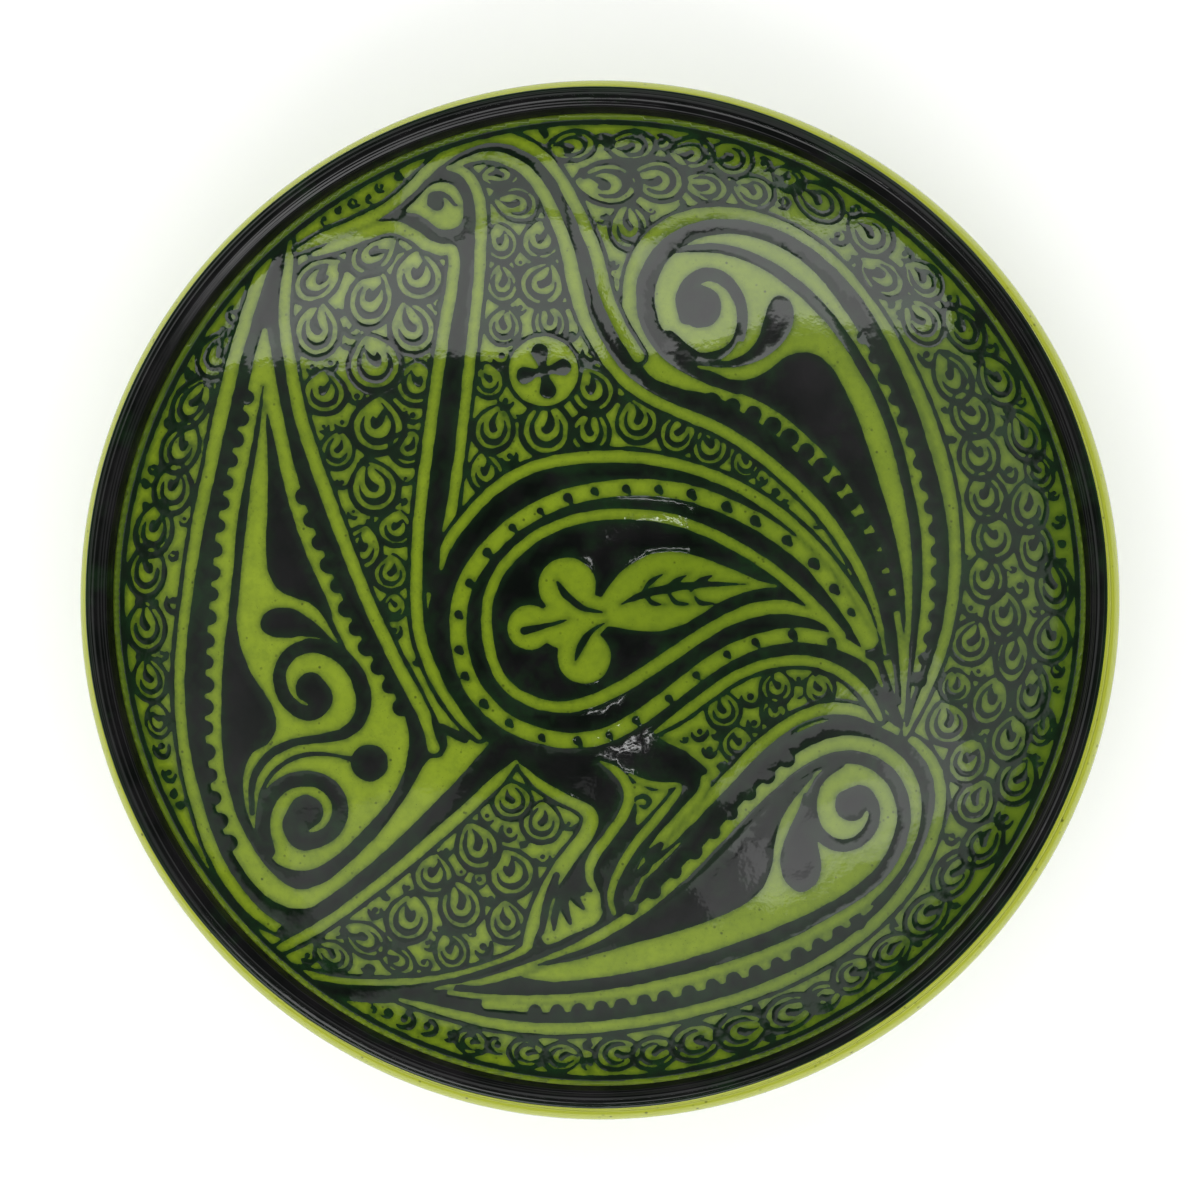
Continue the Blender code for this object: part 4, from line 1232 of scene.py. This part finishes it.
def make_rim_band(material):
    """The black band over the wall and the lip, laid on while the dish turned."""
    inner, outer = s_inside(BAND_INNER), s_lip(BAND_END)
    shift = BANDING_SHIFT[0] * np.cos(TURN) + BANDING_SHIFT[1] * np.sin(TURN)
    shares = np.linspace(0, 1, BAND_RINGS)
    rings = []
    for k, share in enumerate(shares):
        s = inner + (outer - inner) * share
        ragged = round_noise(5, (3, 7, 16, 41), 0.1) * (share > 0.9)
        rise = band_rise(float(on_path(s, GLAZE_TOP)[0]), share) + 0.02 * math.sin(k * 2.1)
        lift = GLAZE_TOP + rise + round_noise(20 + k // 3, (5, 9, 23), 0.012)
        rings.append(on_path(s + shift * (0.4 + 0.6 * share) + ragged, lift))
    for s in (outer + shift, inner + 0.4 * shift):
        rings.append(on_path(s, GLAZE_TOP - BAND_SUNK))
    thin = np.clip(np.exp(-shares * 30) + np.exp(-(1 - shares) * 16), 0, 1)
    return revolved("rim_banding", rings, [*thin, 0, 0], material)


# ---- The glaze outside ----
OUTSIDE_START = 14  # degrees past the top of the lip where it comes out from under the band
LIP_REACH = 9  # the way past that start over which the glaze settles
GLAZE_UNDER = GLAZE_SIDE - GLAZE_THICK + 0.02  # from the clay to the underside of the glaze


def make_glaze_outside(material):
    """The glaze from under the band on the lip, down the outside, to its uneven edge above the foot."""
    start = s_lip(OUTSIDE_START)
    under = PATH[PATH[:, 0] > S_LIP + 20]
    foot = float(np.interp(-GLAZE_STOP, -under[:, 1], under[:, 0]))
    drip = round_noise(8, (2, 5, 9, 14, 23, 37), 0.9)
    shares = np.concatenate([np.linspace(0, 0.28, 40), np.linspace(0.29, 1, 60)])
    rings, thin = [], []
    for share in shares:
        s = start + (foot - start) * share
        settled = min(1, (s - start) / LIP_REACH)
        lift = GLAZE_SIDE + (GLAZE_TOP - 0.06 - GLAZE_SIDE) * math.exp(-(((s - start) / 2.2) ** 2))
        lift = lift + 0.05 * math.sin(s * 1.9) * settled - 0.35 * max(0, share - 0.97) / 0.03
        wobble = round_noise(31 + int(s / 4), (3, 8, 17), 0.015) * settled
        rings.append(on_path(s + drip * share**6, lift + wobble))
        thin.append(math.exp(-(((s - start) / 7.5) ** 2)))
    for share in shares[::-3]:
        s = start + (foot - start) * share
        rings.append(on_path(s + drip * share**6, GLAZE_UNDER))
        thin.append(0.5)
    return revolved("glaze_outer", rings, thin, material)


# ---- Materials: the colours are linear, the noise is over each piece's own coordinates in metres ----
GREEN = (0.166, 0.232, 0.009)
GREEN_LIGHT = (0.202, 0.272, 0.015)
# deep green of thick glaze, also the colour of the painted shade in the well
GREEN_DEEP_AND_SHADE = (0.066, 0.108, 0.008)
GREEN_EDGE = (0.02, 0.045, 0.005)
GREEN_SPECK = (0.02, 0.03, 0.004)
LIME = (0.268, 0.298, 0.028)
BLACK = (0.0018, 0.0024, 0.002)
BLACK_VIOLET = (0.0075, 0.0066, 0.0075)
BLACK_GREEN = (0.0065, 0.021, 0.0065)
CLAY_PALE = (0.50, 0.37, 0.24)
CLAY_DARK = (0.36, 0.24, 0.14)
BUMP_HEIGHT = 0.0003  # metres


def new_material(name):
    material = bpy.data.materials.new(name)
    material.use_nodes = True
    tree = material.node_tree
    return material, tree, tree.nodes["Principled BSDF"]


def add(tree, kind, **settings):
    """A new node, each setting either an input socket's value or a property of the node."""
    node = tree.nodes.new(kind)
    for key, value in settings.items():
        if key in node.inputs:
            node.inputs[key].default_value = value
        else:
            setattr(node, key, value)
    return node


def feed(tree, value, socket):
    """Gives a socket a number or a colour, or links another node's output to it."""
    if isinstance(value, bpy.types.NodeSocket):
        tree.links.new(value, socket)
    else:
        socket.default_value = (*value, 1) if isinstance(value, tuple) else value


def own_coordinates(tree):
    return add(tree, "ShaderNodeTexCoord").outputs["Object"]


def noise(tree, scale, detail, rough=0.55):
    node = add(tree, "ShaderNodeTexNoise", Scale=scale, Detail=detail, Roughness=rough)
    feed(tree, own_coordinates(tree), node.inputs["Vector"])
    return node.outputs["Fac"]


def remap(tree, value, low, high, to_low=0.0, to_high=1.0):
    """A value carried from one range to another, and held there."""
    node = add(tree, "ShaderNodeMapRange")
    for name, number in (("From Min", low), ("From Max", high), ("To Min", to_low), ("To Max", to_high)):
        node.inputs[name].default_value = number
    feed(tree, value, node.inputs["Value"])
    return node.outputs["Result"]


def mix(tree, factor, first, second):
    """A colour mixed from two, each a colour or another node's output."""
    node = add(tree, "ShaderNodeMix", data_type="RGBA")
    for socket, value in ((0, factor), (6, first), (7, second)):
        feed(tree, value, node.inputs[socket])
    return node.outputs[2]


def combine(tree, operation, a, b):
    """A math node over two values, each a number or another node's output."""
    node = add(tree, "ShaderNodeMath", operation=operation)
    feed(tree, a, node.inputs[0])
    feed(tree, b, node.inputs[1])
    return node.outputs[0]


def multiply(tree, a, b):
    return combine(tree, "MULTIPLY", a, b)


def plus(tree, a, b):
    return combine(tree, "ADD", a, b)


def field(tree, name):
    return add(tree, "ShaderNodeAttribute", attribute_name=name).outputs["Fac"]


def clouds(tree, colour, over, scale, detail, low, high, amount=1.0, rough=0.55):
    """Lays one colour over another where noise rises from low to high."""
    share = remap(tree, noise(tree, scale, detail, rough), low, high, 0, amount)
    return mix(tree, share, colour, over)


def specks(tree, colour, over, scale, size, amount):
    """Small dark specks where impurities burnt through the glaze, in patches."""
    cells = add(tree, "ShaderNodeTexVoronoi", Scale=scale, Randomness=1.0)
    feed(tree, own_coordinates(tree), cells.inputs["Vector"])
    near = remap(tree, cells.outputs["Distance"], size, size * 0.45)
    patchy = remap(tree, noise(tree, scale * 0.35, 2), 0.5, 0.62)
    return mix(tree, multiply(tree, multiply(tree, near, patchy), amount), colour, over)


def add_bump(tree, shader, height, strength, socket="Coat Normal"):
    """Unevenness. Reflections on glaze are of its clear coat, so it is the coat's normal that it turns."""
    bump = add(tree, "ShaderNodeBump", Strength=strength, Distance=BUMP_HEIGHT)
    feed(tree, height, bump.inputs["Height"])
    feed(tree, bump.outputs["Normal"], shader.inputs[socket])


def glassy(tree, shader, colour, roughness, coat=1.0):
    """A coloured body under a clear glass coat."""
    feed(tree, colour, shader.inputs["Base Color"])
    shader.inputs["Roughness"].default_value = 0.5
    shader.inputs["Specular IOR Level"].default_value = 0.0
    shader.inputs["Coat Weight"].default_value = coat
    shader.inputs["Coat Roughness"].default_value = roughness
    shader.inputs["Coat IOR"].default_value = 1.5


def green_glaze():
    material, tree, shader = new_material("green_glaze")
    colour = clouds(tree, GREEN, GREEN_LIGHT, 26, 5, 0.35, 0.65)
    colour = clouds(tree, colour, GREEN_DEEP_AND_SHADE, 11, 3, 0.42, 0.7, 0.22)
    colour = clouds(tree, colour, GREEN_DEEP_AND_SHADE, 110, 5, 0.46, 0.68, 0.24, 0.6)
    colour = clouds(tree, colour, GREEN_DEEP_AND_SHADE, 420, 3, 0.42, 0.68, 0.28, 0.65)
    # deeper green where the glaze pooled in the middle, and painted shade at the right and low on the wall
    # at the upper left
    colour = mix(tree, field(tree, "pool_and_shade"), colour, GREEN_DEEP_AND_SHADE)
    streak = remap(tree, noise(tree, 240, 4), 0.4, 0.7, 0.7, 1.0)
    colour = mix(tree, multiply(tree, field(tree, "near"), streak), colour, GREEN_EDGE)
    colour = mix(tree, field(tree, "lip"), colour, LIME)
    colour = specks(tree, colour, GREEN_SPECK, 420, 0.22, 0.75)
    colour = specks(tree, colour, GREEN_SPECK, 1100, 0.24, 0.4)
    glassy(tree, shader, colour, 0.035)
    add_bump(tree, shader, noise(tree, 240, 3), 0.1)
    return material


def black_slip():
    material, tree, shader = new_material("black_slip")
    colour = clouds(tree, BLACK, BLACK_VIOLET, 55, 6, 0.4, 0.7)
    edge = multiply(tree, field(tree, "thin"), remap(tree, noise(tree, 160, 4), 0.3, 0.65, 0.35, 1.0))
    wash = remap(tree, noise(tree, 48, 6, 0.65), 0.54, 0.72, 0, 0.6)
    colour = mix(tree, plus(tree, edge, wash), colour, BLACK_GREEN)
    glassy(tree, shader, colour, 0.045, 0.8)
    add_bump(tree, shader, noise(tree, 240, 2), 0.09)
    return material


def outer_glaze():
    material, tree, shader = new_material("green_glaze_outside")
    colour = clouds(tree, GREEN, GREEN_LIGHT, 30, 5, 0.35, 0.65)
    colour = clouds(tree, colour, GREEN_DEEP_AND_SHADE, 9, 3, 0.45, 0.7, 0.5)
    colour = mix(tree, field(tree, "thin"), colour, LIME)
    colour = specks(tree, colour, (0.03, 0.03, 0.006), 380, 0.24, 0.8)
    glassy(tree, shader, colour, 0.05)
    add_bump(tree, shader, noise(tree, 260, 3), 0.1)
    return material


def bare_clay():
    """Unglazed clay, with the rings that turning leaves."""
    material, tree, shader = new_material("bare_clay")
    colour = clouds(tree, CLAY_PALE, CLAY_DARK, 70, 6, 0.35, 0.7)
    colour = specks(tree, colour, (0.12, 0.07, 0.04), 500, 0.25, 0.6)
    feed(tree, colour, shader.inputs["Base Color"])
    shader.inputs["Roughness"].default_value = 0.85
    rings = add(tree, "ShaderNodeTexWave", wave_type="RINGS", rings_direction="Z", Scale=260, Distortion=1.5)
    feed(tree, own_coordinates(tree), rings.inputs["Vector"])
    add_bump(tree, shader, rings.outputs["Fac"], 0.5, "Normal")
    return material


def pale_floor():
    material, tree, shader = new_material("pale_floor")
    colour = mix(tree, noise(tree, 3, 2), (0.94, 0.94, 0.94), (0.95, 0.95, 0.95))
    feed(tree, colour, shader.inputs["Base Color"])
    shader.inputs["Roughness"].default_value = 0.9
    shader.inputs["Specular IOR Level"].default_value = 0.0
    return material


# ---- Camera, light and floor, in metres ----
CAMERA_HEIGHT = 3.4
RIM_HEIGHT = 0.050
FRAME_ACROSS = 0.3464  # what the picture shows at the rim's height
FLOOR_SIZE = 3.6
LAMP_HEIGHT = 1.15
UNDER_LAMP = 1.14  # for a lamp that shows in front of another
FILL_LIGHTS = 8  # low lights round the dish that keep the floor even
FILL_POWER = 122  # watts, shared by them
FILL_AWAY = 2
FILL_HEIGHT = 0.9
FILL_SIZE = (1.5, 0.9)


def make_camera():
    """Straight above, from far off, framed as the photograph is."""
    data = bpy.data.cameras.new("camera")
    data.sensor_width = 36
    data.lens = data.sensor_width * (CAMERA_HEIGHT - RIM_HEIGHT) / FRAME_ACROSS
    data.clip_end = 50
    camera = bpy.data.objects.new("camera", data)
    bpy.context.scene.collection.objects.link(camera)
    camera.location = (0, 0, CAMERA_HEIGHT)
    bpy.context.scene.camera = camera


def panel(name, location, size, power):
    """A rectangular lamp, facing straight down until it is turned."""
    data = bpy.data.lights.new(name, "AREA")
    data.shape = "RECTANGLE"
    data.size, data.size_y = size
    data.energy = power
    lamp = bpy.data.objects.new(name, data)
    bpy.context.scene.collection.objects.link(lamp)
    lamp.location = location
    return lamp


def soft_box(name, x, y, size, turn, brightness, height=LAMP_HEIGHT):
    """A lamp that faces straight down, with the brightness of its face given."""
    lamp = panel(name, (x, y, height), size, brightness * math.pi * size[0] * size[1])
    lamp.rotation_euler = (0, 0, math.radians(turn))


def fill_light(name, angle):
    """A low light facing the dish, not seen in the glaze."""
    lamp = panel(name, (FILL_AWAY * math.cos(angle), FILL_AWAY * math.sin(angle), FILL_HEIGHT), FILL_SIZE,
                 FILL_POWER / FILL_LIGHTS)
    lamp.rotation_mode = "QUATERNION"
    lamp.rotation_quaternion = (-lamp.location).to_track_quat("-Z", "Y")
    lamp.visible_glossy = False


def make_light():
    soft_box("window_east", 0.473, -0.671, (0.95, 0.34), -4.6, 2.5)
    soft_box("window_west", -0.43, -0.715, (0.84, 0.29), 13.8, 2.4)
    soft_box("window_far", 0.0, -0.97, (0.95, 0.26), 0, 1.6)
    soft_box("curtain_east", 0.517, -0.642, (0.38, 0.2), -4.6, 0.6, UNDER_LAMP)
    soft_box("curtain_west", -0.316, -0.654, (0.44, 0.28), 13.8, 0.7, UNDER_LAMP)
    soft_box("lamp_side", 0.36, 0.57, (0.72, 0.36), 8, 0.4)
    soft_box("lamp_behind", -0.53, 0.383, (0.53, 0.34), 25, 1.3)
    soft_box("lamp_behind_edge", -0.43, 0.5, (0.5, 0.14), 25, 0.9, UNDER_LAMP)
    soft_box("tube_front", -0.09, -0.126, (0.15, 0.003), 0, 24)
    soft_box("tube_behind", -0.06, 0.25, (0.06, 0.004), 10, 26)
    soft_box("tube_beside", -0.01, 0.27, (0.04, 0.004), -30, 26)
    for k in range(FILL_LIGHTS):
        fill_light(f"light_low_{k}", math.tau * (k + 0.5) / FILL_LIGHTS)


def make_room():
    """The room round the dish: pale at the horizon, dim above it, bright overhead but not at the zenith."""
    world = bpy.data.worlds.new("studio")
    world.use_nodes = True
    tree = world.node_tree
    way = add(tree, "ShaderNodeTexCoord").outputs["Generated"]
    split = add(tree, "ShaderNodeSeparateXYZ")
    feed(tree, way, split.inputs[0])
    up = split.outputs["Z"]
    side = add(tree, "ShaderNodeVectorMath", operation="DOT_PRODUCT")
    side.inputs[1].default_value = (-0.35, 0.5, 0)
    feed(tree, way, side.inputs[0])
    overhead = multiply(tree, remap(tree, up, 0.655, 0.68), remap(tree, up, 0.97, 0.74))
    ceiling = multiply(tree, plus(tree, side.outputs["Value"], 0.66), overhead)
    horizon = remap(tree, up, 0.12, 0.06, 0.05, 1.0)
    background = tree.nodes["Background"]
    background.inputs["Color"].default_value = (0.97, 1.0, 0.98, 1)
    feed(tree, plus(tree, ceiling, horizon), background.inputs["Strength"])
    bpy.context.scene.world = world


def make_floor():
    bpy.ops.mesh.primitive_plane_add(size=FLOOR_SIZE, location=(0, 0, 0))
    floor = bpy.context.object
    floor.name = "floor"
    floor.data.materials.append(pale_floor())


# ---- Making it all ----
bpy.context.scene.view_settings.view_transform = "Standard"
make_camera()
make_light()
make_room()
make_floor()

draw_figures()
draw_ground()
# the slip's edges soften and wander a little under the melting glaze
ink[:] = soften(ink, 2)
ink += 0.13 * smooth_noise(2.4, 3) + 0.06 * smooth_noise(1.1, 4)

black = black_slip()
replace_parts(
    make_painting(black), "slip_bird_neck", "slip_bird_back", "slip_bird_body", "slip_body_band",
    "slip_bird_legs", "slip_left_leaf", "slip_lower_leaf", "slip_upper_scroll", "slip_ring_line",
)
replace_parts(make_rim_band(black), "slip_rim_band")
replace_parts(make_glaze_inside(green_glaze()), "glaze_inside")
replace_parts(make_glaze_outside(outer_glaze()), "glaze_outside")
clay = bare_clay()
for node in ("clay_body", "foot_ring"):
    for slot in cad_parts[node].material_slots:
        slot.material = clay
